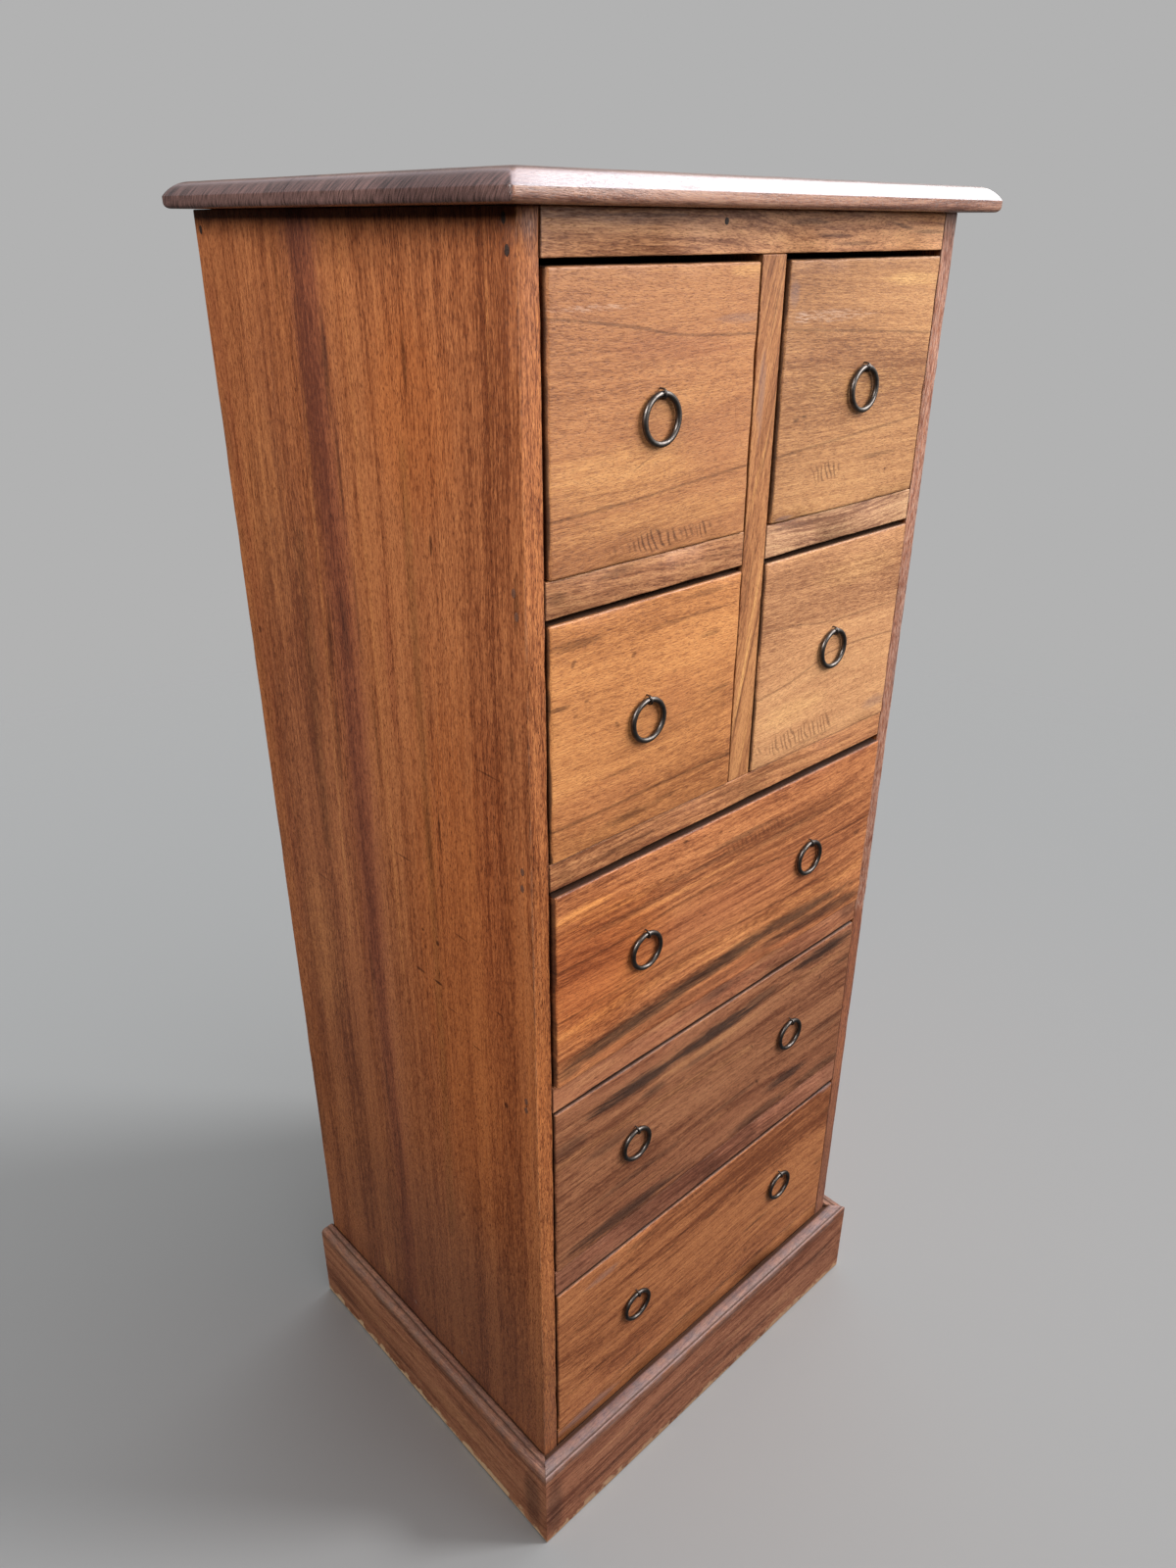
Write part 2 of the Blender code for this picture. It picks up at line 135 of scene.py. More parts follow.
class Bench:
    """Sets shader nodes in one tree and joins their sockets."""

    def __init__(self, tree):
        self.tree = tree

    def feed(self, socket, value):
        if isinstance(value, bpy.types.NodeSocket):
            self.tree.links.new(value, socket)
        else:
            socket.default_value = value

    def add(self, kind, inputs=None, **settings):
        made = self.tree.nodes.new(kind)
        for name, value in settings.items():
            setattr(made, name, value)
        for name, value in (inputs or {}).items():
            self.feed(made.inputs[name], value)
        return made

    def fill(self, sockets, values):
        for socket, value in zip(sockets, values):
            self.feed(socket, value)

    def group(self, tree, inputs):
        """Outputs of a node group, placed with its own values."""
        return self.add("ShaderNodeGroup", inputs, node_tree=tree).outputs

    def here(self):
        """Object coordinates."""
        return self.add("ShaderNodeTexCoord").outputs["Object"]

    def facing(self):
        """Which way a face looks, on each axis."""
        return self.split(self.add("ShaderNodeNewGeometry").outputs["Normal"])

    def seen(self):
        """One for what the camera sees itself, nought for light on its way elsewhere."""
        return self.add("ShaderNodeLightPath").outputs["Is Camera Ray"]

    def maths(self, operation, *values, clamp=False):
        made = self.add("ShaderNodeMath", operation=operation, use_clamp=clamp)
        self.fill(made.inputs, values)
        return made.outputs[0]

    def vector(self, operation, *values):
        made = self.add("ShaderNodeVectorMath", operation=operation)
        self.fill(made.inputs, values)
        return made.outputs["Value" if operation in ("LENGTH", "DOT_PRODUCT") else "Vector"]

    def split(self, vector):
        return self.add("ShaderNodeSeparateXYZ", {"Vector": vector}).outputs

    def join(self, x, y, z):
        return self.add("ShaderNodeCombineXYZ", {"X": x, "Y": y, "Z": z}).outputs[0]

    def noise(self, place, scale, detail=2.0, roughness=0.5):
        """Noise with scale features in a metre, given as one number or as one for each axis."""
        scales = scale if isinstance(scale, tuple) else (scale, scale, scale)
        stretched = self.vector("MULTIPLY", place, scales)
        inputs = {"Vector": stretched, "Scale": 1.0, "Detail": detail, "Roughness": roughness}
        return self.add("ShaderNodeTexNoise", inputs).outputs["Fac"]

    def ease(self, value, start, end, low=0.0, high=1.0):
        """From low to high while value runs from start to end, softly at both ends."""
        made = self.add("ShaderNodeMapRange", interpolation_type="SMOOTHSTEP")
        self.fill(made.inputs, (value, start, end, low, high))
        return made.outputs["Result"]

    def blend(self, share, first, second, kind="MIX"):
        made = self.add("ShaderNodeMix", data_type="RGBA", blend_type=kind)
        self.fill([made.inputs[number] for number in MIX_COLOUR_INPUTS], (share, first, second))
        return made.outputs[MIX_COLOUR_OUTPUT]

    def bump(self, shader, height, strength, distance):
        inputs = {"Strength": strength, "Distance": distance, "Height": height}
        self.feed(shader.inputs["Normal"], self.add("ShaderNodeBump", inputs).outputs["Normal"])

    def curve(self, value, dots):
        """Smooth curve through dots, each a pair of numbers from 0 to 1."""
        made = self.add("ShaderNodeFloatCurve", {"Value": value})
        line = made.mapping.curves[0].points
        while len(line) < len(dots):
            line.new(0.5, 0.5)
        for dot, place in zip(line, dots):
            dot.location = place
        made.mapping.update()
        return made.outputs["Value"]

    def ramp(self, value, stops):
        made = self.add("ShaderNodeValToRGB", {"Fac": value})
        elements = made.color_ramp.elements
        while len(elements) < len(stops):
            elements.new(0.5)
        for element, (place, colour) in zip(elements, stops):
            element.position = place
            element.color = colour
        return made.outputs["Color"]


def tone(red, green, blue):
    return (red, green, blue, 1.0)


def new_group(name, inputs, outputs):
    """Empty shader group with named sockets; a name in capitals is a vector."""
    tree = bpy.data.node_groups.new(name, "ShaderNodeTree")
    for names, side in ((inputs, "INPUT"), (outputs, "OUTPUT")):
        for label in names:
            kind = "NodeSocketVector" if label.isupper() else "NodeSocketFloat"
            tree.interface.new_socket(label, in_out=side, socket_type=kind)
    start = tree.nodes.new("NodeGroupInput").outputs
    end = tree.nodes.new("NodeGroupOutput").inputs
    return tree, Bench(tree), start, end


# Noises in the grain: features in a metre along and across it, detail and roughness
GRAIN_NOISES = {
    "Broad": (3.0, 11.0, 1.0, 0.5),
    "Band": (0.7, 32.0, 2.0, 0.5),
    "Streak": (1.3, 130.0, 3.0, 0.6),
    "Dash": (13.0, 330.0, 2.0, 0.6),
    "Fibre": (95.0, 1000.0, 2.0, 0.7),
}
SWAY_NOISE = (2.6, 8.0, 1.0, 0.5)
PORE_NOISE = (260.0, 1900.0, 1.0, 0.5)
FRAY_NOISES = ((20.0, 420.0, 2.0, 0.65), (8.0, 850.0, 2.0, 0.6))
SEED_SHIFT = (0.37, 1.31, 0.73)  # metres that a seed of 1 moves the grain


def make_grain_group():
    """Figure of a board: patches, bands, streaks, dashes, fibres, pores, and fraying for its marks."""
    outputs = (*GRAIN_NOISES, "Pore", "Ragged")
    group, bench, start, end = new_group("board_grain", ("PLACE", "Seed", "Sway"), outputs)

    def drawn(place, along, across, detail, roughness):
        return bench.noise(place, (along, across, across), detail, roughness)

    seeds = bench.join(start["Seed"], start["Seed"], start["Seed"])
    place = bench.vector("ADD", start["PLACE"], bench.vector("MULTIPLY", seeds, SEED_SHIFT))
    sway = bench.maths("SUBTRACT", drawn(place, *SWAY_NOISE), 0.5)
    bend = bench.maths("MULTIPLY", sway, start["Sway"])
    bent = bench.vector("ADD", place, bench.join(0.0, bend, bend))
    for name, values in GRAIN_NOISES.items():
        bench.feed(end[name], drawn(bent, *values))
    bench.feed(end["Pore"], bench.ease(drawn(bent, *PORE_NOISE), 0.53, 0.66))
    coarse, fine = (drawn(bent, *values) for values in FRAY_NOISES)
    bench.feed(end["Ragged"], bench.maths("SUBTRACT", bench.maths("ADD", coarse, fine), 1.0))
    return group


def make_mark_group():
    """One streak along the grain, fading out at its ends, with edges frayed along the fibres."""
    inputs = ("PLACE", "Ragged", "MIDDLE", "SIZE", "Slope", "Strength", "Fray")
    group, bench, start, end = new_group("grain_mark", inputs, ("Mark",))
    away = bench.split(bench.vector("SUBTRACT", start["PLACE"], start["MIDDLE"]))
    across = bench.maths("SUBTRACT", away["Y"], bench.maths("MULTIPLY", away["X"], start["Slope"]))
    share = bench.vector("DIVIDE", bench.join(away["X"], across, 0.0), start["SIZE"])
    inside = bench.maths("SUBTRACT", 1.0, bench.vector("DOT_PRODUCT", share, share))
    frayed = bench.maths("ADD", inside, bench.maths("MULTIPLY", start["Ragged"], start["Fray"]))
    bench.feed(end["Mark"], bench.maths("MULTIPLY", bench.ease(frayed, -0.1, 1.0), start["Strength"]))
    return group


SEAM_FRAY = 1.4
SEAM_FADE = 0.015  # length over which an end fades


def make_seam_group():
    """Band along a line through the wood, by the distance away from it, fading at its ends."""
    inputs = ("Away", "Along", "Ragged", "Start", "End", "Width", "Strength")
    group, bench, start, end = new_group("grain_seam", inputs, ("Seam",))
    share = bench.maths("DIVIDE", bench.maths("ABSOLUTE", start["Away"]), start["Width"])
    frayed = bench.maths("SUBTRACT", share, bench.maths("MULTIPLY", start["Ragged"], SEAM_FRAY))
    run_in = bench.ease(bench.maths("SUBTRACT", start["Along"], start["Start"]), 0.0, SEAM_FADE)
    run_out = bench.ease(bench.maths("SUBTRACT", start["End"], start["Along"]), 0.0, SEAM_FADE)
    ends = bench.maths("MULTIPLY", run_in, run_out)
    line = bench.maths("MULTIPLY", bench.ease(frayed, 1.5, 0.2), ends)
    bench.feed(end["Seam"], bench.maths("MULTIPLY", line, start["Strength"]))
    return group


RIPPLE_LEAN = 0.45
RIPPLE_DRIFT = 0.012  # how far the strokes stray from even spacing
RIPPLE_RATE = 1050.0  # radians in a metre, a stroke every 6 mm
RIPPLE_SCALE = (70.0, 40.0, 0.0)
RIPPLE_FRAY = 2.0


def make_ripple_group():
    """Short strokes across the grain, side by side, as a dull plane leaves them."""
    inputs = ("PLACE", "MIDDLE", "SIZE", "Strength")
    group, bench, start, end = new_group("plane_ripple", inputs, ("Ripple",))
    away = bench.split(bench.vector("SUBTRACT", start["PLACE"], start["MIDDLE"]))
    uneven = bench.noise(start["PLACE"], RIPPLE_SCALE, detail=1.0)
    leaning = bench.maths("ADD", away["X"], bench.maths("MULTIPLY", away["Y"], RIPPLE_LEAN))
    run = bench.maths("ADD", leaning, bench.maths("MULTIPLY", uneven, RIPPLE_DRIFT))
    stroke = bench.ease(bench.maths("SINE", bench.maths("MULTIPLY", run, RIPPLE_RATE)), -0.1, 0.9)
    share = bench.vector("DIVIDE", bench.join(away["X"], away["Y"], 0.0), start["SIZE"])
    inside = bench.maths("SUBTRACT", 1.0, bench.vector("DOT_PRODUCT", share, share))
    fray = bench.maths("MULTIPLY", bench.maths("SUBTRACT", uneven, 0.5), RIPPLE_FRAY)
    seen = bench.maths("MULTIPLY", bench.ease(bench.maths("ADD", inside, fray), 0.0, 0.8), stroke)
    bench.feed(end["Ripple"], bench.maths("MULTIPLY", seen, start["Strength"]))
    return group


# Patches of rubbed arrises, of the painted shade in the gaps and of the dust with its painted sheen, in a
# metre
RUB_PATCHES, GAP_SHADE_PATCHES, DUST_AND_SHEEN_PATCHES = 38.0, 45.0, 60.0


def make_edge_group():
    """Where hands and cloths have rubbed a board's arrises, from the corners of its box."""
    inputs = ("PLACE", "LOW", "HIGH", "Reach")
    group, bench, start, end = new_group("rubbed_arris", inputs, ("Rubbed",))
    from_low = bench.vector("SUBTRACT", start["PLACE"], start["LOW"])
    from_high = bench.vector("SUBTRACT", start["HIGH"], start["PLACE"])
    x, y, z = bench.split(bench.vector("MINIMUM", from_low, from_high))
    larger = bench.maths("MINIMUM", bench.maths("MAXIMUM", x, y), z)
    second_nearest = bench.maths("MAXIMUM", bench.maths("MINIMUM", x, y), larger)
    patchy = bench.noise(start["PLACE"], RUB_PATCHES, detail=3.0)
    reach = bench.maths("MULTIPLY", start["Reach"], bench.ease(patchy, 0.30, 0.70, 0.25, 1.6))
    rubbed = bench.ease(second_nearest, reach, bench.maths("MULTIPLY", reach, 0.15))
    bench.feed(end["Rubbed"], rubbed)
    return group


GAP_SHADE_REACH = (0.0003, 0.0012)  # least and most, in from the ends and the foot
GAP_SHADE_TOP = (0.004, 0.001)  # distance from the top at which the painted shade starts, and is full


def make_gap_shade_group():
    """Painted shade on a drawer front's ends, top and foot, where they stand in the gaps."""
    group, bench, start, end = new_group("gap_shade", ("PLACE", "LOW", "HIGH"), ("Grime",))
    away = bench.split(bench.vector("SUBTRACT", start["PLACE"], start["LOW"]))
    rest = bench.split(bench.vector("SUBTRACT", start["HIGH"], start["PLACE"]))
    patchy = bench.noise(start["PLACE"], GAP_SHADE_PATCHES, detail=3.0)
    reach = bench.ease(patchy, 0.30, 0.70, *GAP_SHADE_REACH)
    ends = bench.maths("MINIMUM", away["X"], bench.maths("MINIMUM", rest["X"], away["Z"]))
    film = bench.ease(ends, reach, 0.0, 0.0, 0.85)
    behind_face = bench.ease(away["Y"], 0.0012, 0.0030)
    top = bench.maths("MULTIPLY", behind_face, bench.ease(rest["Z"], *GAP_SHADE_TOP))
    bench.feed(end["Grime"], bench.maths("MAXIMUM", film, bench.maths("MULTIPLY", top, 0.9)))
    return group


def make_dust_and_sheen_group():
    """Dull film of dust that settles on faces that look up, tinted as a painted sheen of the sky."""
    group, bench, start, end = new_group("settled_dust_and_sheen", ("PLACE",), ("Dust",))
    patchy = bench.noise(start["PLACE"], DUST_AND_SHEEN_PATCHES, detail=4.0, roughness=0.65)
    uneven = bench.ease(patchy, 0.25, 0.75, 0.55, 1.0)
    film = bench.maths("MULTIPLY", bench.ease(bench.facing()["Z"], 0.35, 0.95), uneven)
    bench.feed(end["Dust"], film)
    return group


GRAIN = make_grain_group()
MARK = make_mark_group()
SEAM = make_seam_group()
RIPPLE = make_ripple_group()
EDGE = make_edge_group()
GAP_SHADE = make_gap_shade_group()
DUST_AND_SHEEN = make_dust_and_sheen_group()


def board_place(bench, order, lean=0.0):
    """Object coordinates, then the same as along, across and into the board, straight and leaning."""
    place = bench.here()
    axes = bench.split(place)
    along, across, into = (axes[letter] for letter in order)
    straight = bench.join(along, across, into)
    if not lean:
        return place, straight, straight
    across = bench.maths("SUBTRACT", across, bench.maths("MULTIPLY", along, lean))
    return place, straight, bench.join(along, across, into)


def new_material(name):
    material = bpy.data.materials.new(name)
    material.use_nodes = True
    bench = Bench(material.node_tree)
    shader = material.node_tree.nodes["Principled BSDF"]
    return material, bench, shader


RUBBED_WOOD = tone(0.55, 0.33, 0.22)
# dark brown painted as shade in the gaps and on the up-facing edges of the drawer fronts
SHADE_BROWN = tone(0.022, 0.012, 0.009)
# purple grey: dust, and a painted sheen of the sky on faces that look up
DUST_AND_SHEEN_GREY = tone(0.20, 0.165, 0.18)
PORE_SHADE = tone(0.34, 0.26, 0.22)

# What a mark does to the wood: how it is mixed, its colour, and whether it is broken into flecks
Paint = namedtuple("Paint", "kind colour flecked")
PAINTS = {
    "red": Paint("MULTIPLY", tone(0.64, 0.47, 0.60), False),
    "amber": Paint("MULTIPLY", tone(1.02, 0.84, 0.60), False),
    "olive": Paint("MULTIPLY", tone(0.55, 0.62, 0.55), False),
    "dark": Paint("MULTIPLY", tone(0.20, 0.17, 0.19), False),
    "smoke": Paint("MULTIPLY", tone(0.08, 0.13, 0.24), False),
    "gold": Paint("MULTIPLY", tone(1.50, 1.75, 1.55), False),
    "grey": Paint("MIX", tone(0.17, 0.115, 0.115), False),
    "pale": Paint("MIX", tone(0.62, 0.50, 0.44), True),
}

# How strongly each part of the grain shows
Figure = namedtuple("Figure", "broad band streak dash fibre pore")
CALM = Figure(0.8, 0.30, 0.40, 0.42, 1.0, 0.55)
STRIPED = Figure(0.8, 0.70, 0.9, 1.05, 1.2, 0.60)
STREAKY = Figure(0.5, 0.85, 0.7, 0.75, 1.7, 0.90)
LEAST_FRAY, SLIM_FRAY = 0.4, 1.1  # of any streak's edge, and what a slim one has on top
SWAY = 0.05  # how far the grain wanders across a board
SIDE_SWAY = 0.012

# How much a pore and a film of dust add to the roughness, and strength and depth of the pores
PORE_DULL, DUST_DULL = 0.18, 0.2
POLISHED_BUMP = (0.35, 0.0003)
BARE_BUMP = (0.5, 0.0004)
IRON_BUMP = (0.12, 0.0002)

# Where a board's three tones lie in its figure, and what makes the outer two from the middle one
TONE_STOPS = (0.18, 0.50, 0.82)
DEEPER = (0.48, 0.40, 0.40)
LIGHTER = (1.35, 1.50, 1.50)
LIGHTEST = 0.9


def wood_tones(middle):
    """Deep, middle and light tone of a board from its middle one."""
    deep = [value * share for value, share in zip(middle, DEEPER)]
    light = [min(value * share, LIGHTEST) for value, share in zip(middle, LIGHTER)]
    return tone(*deep), middle, tone(*light)


def figured_colour(bench, grain, tones, figure):
    """Colour of the wood from the deep to the light tone, with its pores."""
    value = 0.5
    for output, weight in zip(GRAIN_NOISES, figure):
        away = bench.maths("SUBTRACT", grain[output], 0.5)
        value = bench.maths("ADD", value, bench.maths("MULTIPLY", away, weight))
    colour = bench.ramp(value, list(zip(TONE_STOPS, tones)))
    pores = bench.maths("MULTIPLY", grain["Pore"], figure.pore)
    return bench.blend(pores, colour, PORE_SHADE, "MULTIPLY")


class Polish:
    """Old polished hardwood of one board, built up layer on layer."""

    def __init__(self, name, order, middle, seed, figure=CALM, lean=0.0, sway=SWAY):
        self.material, self.bench, self.shader = new_material(name)
        self.place, self.straight, leaning = board_place(self.bench, order, lean)
        self.grain = self.bench.group(GRAIN, {"PLACE": leaning, "Seed": seed, "Sway": sway})
        self.colour = figured_colour(self.bench, self.grain, wood_tones(middle), figure)
        self.film = 0.0

    def layer(self, share, paint, kind="MIX"):
        self.colour = self.bench.blend(share, self.colour, paint, kind)

    def draw(self, marks):
        """Marks by the name of their paint, painted in that order."""
        masks = {Mark: self.streak_mask, Seam: self.seam_mask, Ripple: self.ripple_mask}
        for name, items in marks.items():
            paint = PAINTS[name]
            mask = 0.0
            for item in items:
                mask = self.bench.maths("MAXIMUM", mask, masks[type(item)](item))
            if paint.flecked:
                mask = self.bench.maths("MULTIPLY", mask, self.bench.ease(self.grain["Fibre"], 0.42, 0.62))
            self.layer(mask, paint.colour, paint.kind)

    def spot(self, mark):
        """Middle and half size of a mark in metres, and where it is looked up."""
        return {
            "PLACE": self.straight,
            "MIDDLE": (mark.along * MM, mark.across * MM, 0.0),
            "SIZE": (mark.length * MM, mark.width * MM, 1.0),
            "Strength": mark.strength,
        }

    def streak_mask(self, mark):
        fray = LEAST_FRAY + SLIM_FRAY * max(0.0, 1.0 - mark.width / mark.length)
        inputs = {"Ragged": self.grain["Ragged"], "Slope": mark.slope, "Fray": fray}
        return self.bench.group(MARK, {**self.spot(mark), **inputs})["Mark"]

    def seam_mask(self, seam):
        bench = self.bench
        axes = bench.split(self.straight)
        first, last = seam.points[0][0], seam.points[-1][0]
        low = min(across for along, across in seam.points)
        rise = max(across for along, across in seam.points) - low
        run = bench.maths("SUBTRACT", axes["X"], first * MM)
        share = bench.maths("DIVIDE", run, (last - first) * MM)
        dots = [((along - first) / (last - first), (across - low) / rise) for along, across in seam.points]
        line = bench.maths("MULTIPLY_ADD", bench.curve(share, dots), rise * MM, low * MM)
        inputs = {
            "Away": bench.maths("SUBTRACT", axes["Y"], line),
            "Along": axes["X"],
            "Ragged": self.grain["Ragged"],
            "Start": first * MM,
            "End": last * MM,
            "Width": seam.width * MM,
            "Strength": seam.strength,
        }
        return bench.group(SEAM, inputs)["Seam"]

    def ripple_mask(self, ripple):
        return self.bench.group(RIPPLE, self.spot(ripple))["Ripple"]

    def rub(self, box, reach, amount):
        """Bare, rubbed wood along the arrises of a box."""
        inputs = {"PLACE": self.place, "LOW": box[0], "HIGH": box[1], "Reach": reach}
        worn = self.bench.group(EDGE, inputs)["Rubbed"]
        self.layer(self.bench.maths("MULTIPLY", worn, amount), RUBBED_WOOD)

    def paint_gap_shade(self, box):
        """Painted shade in the gaps round a drawer front."""
        inputs = {"PLACE": self.place, "LOW": box[0], "HIGH": box[1]}
        self.layer(self.bench.group(GAP_SHADE, inputs)["Grime"], SHADE_BROWN)

    def paint_top_shade(self, amount):
        """Painted shade on the edges that face up."""
        self.layer(self.bench.ease(self.bench.facing()["Z"], 0.50, 0.90, 0.0, amount), SHADE_BROWN)

    # dust on faces that look up, with a painted sheen of the sky
    def dust(self, amount):
        film = self.bench.group(DUST_AND_SHEEN, {"PLACE": self.place})["Dust"]
        self.film = self.bench.maths("MULTIPLY", film, amount)
        self.layer(self.film, DUST_AND_SHEEN_GREY)

    def finish(self, gloss=0.40, shine=0.28):
        """Feed the shader; gloss is the roughness of the polish, shine how much it reflects."""
        bench, grain, shader = self.bench, self.grain, self.shader
        bench.feed(shader.inputs["Base Color"], self.colour)
        rough = bench.maths("ADD", gloss, bench.maths("MULTIPLY", grain["Pore"], PORE_DULL))
        rough = bench.maths("ADD", rough, bench.maths("MULTIPLY", self.film, DUST_DULL), clamp=True)
        bench.feed(shader.inputs["Roughness"], rough)
        shader.inputs["Specular IOR Level"].default_value = shine
        bench.bump(shader, bench.maths("SUBTRACT", grain["Fibre"], grain["Pore"]), *POLISHED_BUMP)
        return self.material


STAIN_PATCHES = 7.0  # in a metre


def bare_wood(name, order, seed):
    """Unpolished, stained wood of the pieces inside the carcass."""
    material, bench, shader = new_material(name)
    place, straight = board_place(bench, order)[:2]
    grain = bench.group(GRAIN, {"PLACE": straight, "Seed": seed, "Sway": SWAY})
    tones = wood_tones(INNER_BROWN)
    colour = figured_colour(bench, grain, tones, CALM)
    stain = bench.noise(place, STAIN_PATCHES, detail=4.0, roughness=0.6)
    colour = bench.blend(bench.ease(stain, 0.50, 0.80, 0.0, 0.45), colour, tones[0])
    bench.feed(shader.inputs["Base Color"], colour)
    bench.feed(shader.inputs["Roughness"], bench.ease(grain["Fibre"], 0.2, 0.8, 0.62, 0.80))
    bench.bump(shader, bench.maths("SUBTRACT", grain["Fibre"], grain["Pore"]), *BARE_BUMP)
    return material


IRON_DARK = tone(0.070, 0.060, 0.055)
IRON_BRIGHT = tone(0.15, 0.132, 0.120)
IRON_PATCHES, IRON_SCALE = 260.0, 1400.0  # rubbed patches and grains of scale in a metre


def ring_iron():
    """Blackened iron, rubbed bright in places."""
    material, bench, shader = new_material("ring_iron")
    place = bench.here()
    patchy = bench.noise(place, IRON_PATCHES, detail=3.0)
    scale = bench.noise(place, IRON_SCALE, detail=2.0)
    colour = bench.ramp(patchy, ((0.30, IRON_DARK), (0.70, IRON_BRIGHT)))
    bench.feed(shader.inputs["Base Color"], colour)
    bench.feed(shader.inputs["Roughness"], bench.ease(patchy, 0.30, 0.75, 0.40, 0.30))
    shader.inputs["Metallic"].default_value = 1.0
    bench.bump(shader, scale, *IRON_BUMP)
    return material


def show(name, shape, materials, body, nodes=()):
    """Put a finished shape in the scene as a piece that rides on a body and stands for CAD nodes."""
    bmesh.ops.recalc_face_normals(shape, faces=shape.faces)
    mesh = bpy.data.meshes.new(name)
    shape.to_mesh(mesh)
    shape.free()
    mesh.shade_smooth()
    mesh.set_sharp_from_angle(angle=SHARP_ANGLE)
    piece = bpy.data.objects.new(name, mesh)
    bpy.context.scene.collection.objects.link(piece)
    for material in materials:
        mesh.materials.append(material)
    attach(piece, body)
    if nodes:
        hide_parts(*nodes)


def cut_across(shape, axis, place):
    normal = Vector((0.0, 0.0, 0.0))
    normal[axis] = 1.0
    geometry = [*shape.verts, *shape.edges, *shape.faces]
    bmesh.ops.bisect_plane(shape, geom=geometry, dist=1e-6, plane_co=normal * place, plane_no=normal)


def rounded_board(low, high, arris, grid):
    """Box with rounded edges, its faces divided about every grid metres and held flat at the edges."""
    shape = bmesh.new()
    bmesh.ops.create_cube(shape, size=1.0)
    bmesh.ops.scale(shape, vec=high - low, verts=shape.verts)
    bmesh.ops.translate(shape, vec=(low + high) / 2, verts=shape.verts)
    edges = shape.edges[:]
    bmesh.ops.bevel(shape, geom=edges, offset=arris, segments=ARRIS_STEPS, profile=0.5, affect="EDGES")
    hold = ARRIS_HOLD * arris
    for axis in range(3):
        length = high[axis] - low[axis]
        count = int(length / grid)
        steps = [low[axis] + length * step / count for step in range(1, count)]
        for place in (low[axis] + hold, high[axis] - hold, *steps):
            cut_across(shape, axis, place)
    return shape


def wear_board(shape, low, high, seed, arris):
    """Let the faces dip and the arrises lose wood here and there, always inwards."""
    middle = (low + high) / 2
    start = Vector([seed * shift for shift in WEAR_SHIFT])
    for vertex in shape.verts:
        place = vertex.co
        gaps = [min(place[axis] - low[axis], high[axis] - place[axis]) for axis in range(3)]
        on_face = [gap < ON_FACE * arris for gap in gaps]
        lost = WAVE * (0.5 + 0.5 * noise.noise(place * WAVE_SCALE + start))
        if sum(on_face) > 1:
            lost += KNOCK * max(0.0, noise.noise(place * KNOCK_SCALE + start) * KNOCK_GAIN)
        for axis in range(3):
            if on_face[axis]:
                vertex.co[axis] += math.copysign(1.0, middle[axis] - place[axis]) * lost


def worn_board(name, low, high, material, body, slot, nodes, seed, arris=ARRIS, grid=GRID_SIDE, sag=0.0):
    """One board with worn edges; sag lowers the right end of its top."""
    shape = rounded_board(low, high, arris, grid)
    wear_board(shape, low, high, seed, arris)
    if sag:
        for vertex in shape.verts:
            across = (vertex.co.x - low.x) / (high.x - low.x)
            up = (vertex.co.z - low.z) / (high.z - low.z)
            vertex.co.z -= sag * across * up
    show(name, shape, [material], body, nodes)


def skin(loops, closed=False):
    """Faces between neighbouring loops of points, and a cap at each end unless they close up."""
    shape = bmesh.new()
    rows = [[shape.verts.new(point) for point in loop] for loop in loops]
    pairs = list(zip(rows, rows[1:]))
    if closed:
        pairs.append((rows[-1], rows[0]))
    for first, second in pairs:
        for here in range(len(first)):
            there = (here + 1) % len(first)
            shape.faces.new((first[here], first[there], second[there], second[here]))
    if not closed:
        shape.faces.new(rows[0])
        shape.faces.new(rows[-1])
    return shape


def quarter(centre, radius, start, end, steps=6):
    """Points of an arc, as (across, up); angles in degrees."""
    points = []
    for step in range(steps + 1):
        angle = math.radians(start + (end - start) * step / steps)
        points.append((centre[0] + radius * math.cos(angle), centre[1] + radius * math.sin(angle)))
    return points


# Middle tones of the boards
SIDE_BROWN = tone(0.372, 0.120, 0.043)
MUNTIN_BROWN = tone(0.372, 0.152, 0.060)
TOP_BROWN = tone(0.30, 0.146, 0.096)
PLINTH_FRONT_BROWN = tone(0.298, 0.117, 0.064)
PLINTH_SIDE_BROWN = tone(0.350, 0.136, 0.070)
INNER_BROWN = tone(0.44, 0.262, 0.135)

# Wear of the arrises: how far in it reaches, and how much of it shows
FRONT_RUB_REACH = 0.0013
RAIL_RUB_REACH = 0.0016
SIDE_RUB = (0.0015, 0.12)
# How much rubbed wood and painted shade show along the top of a wide and of a small drawer front
WIDE_WEAR_AND_SHADE = (0.06, 0.65)
SMALL_WEAR_AND_SHADE = (0.30, 0.50)
WIDE_DRAWERS = ("drawer_3", "drawer_4", "drawer_5")

# A drawer front: middle tone, seed of its grain, how far its top sags to the right, and its marks
Front = namedtuple("Front", "middle seed sag marks")

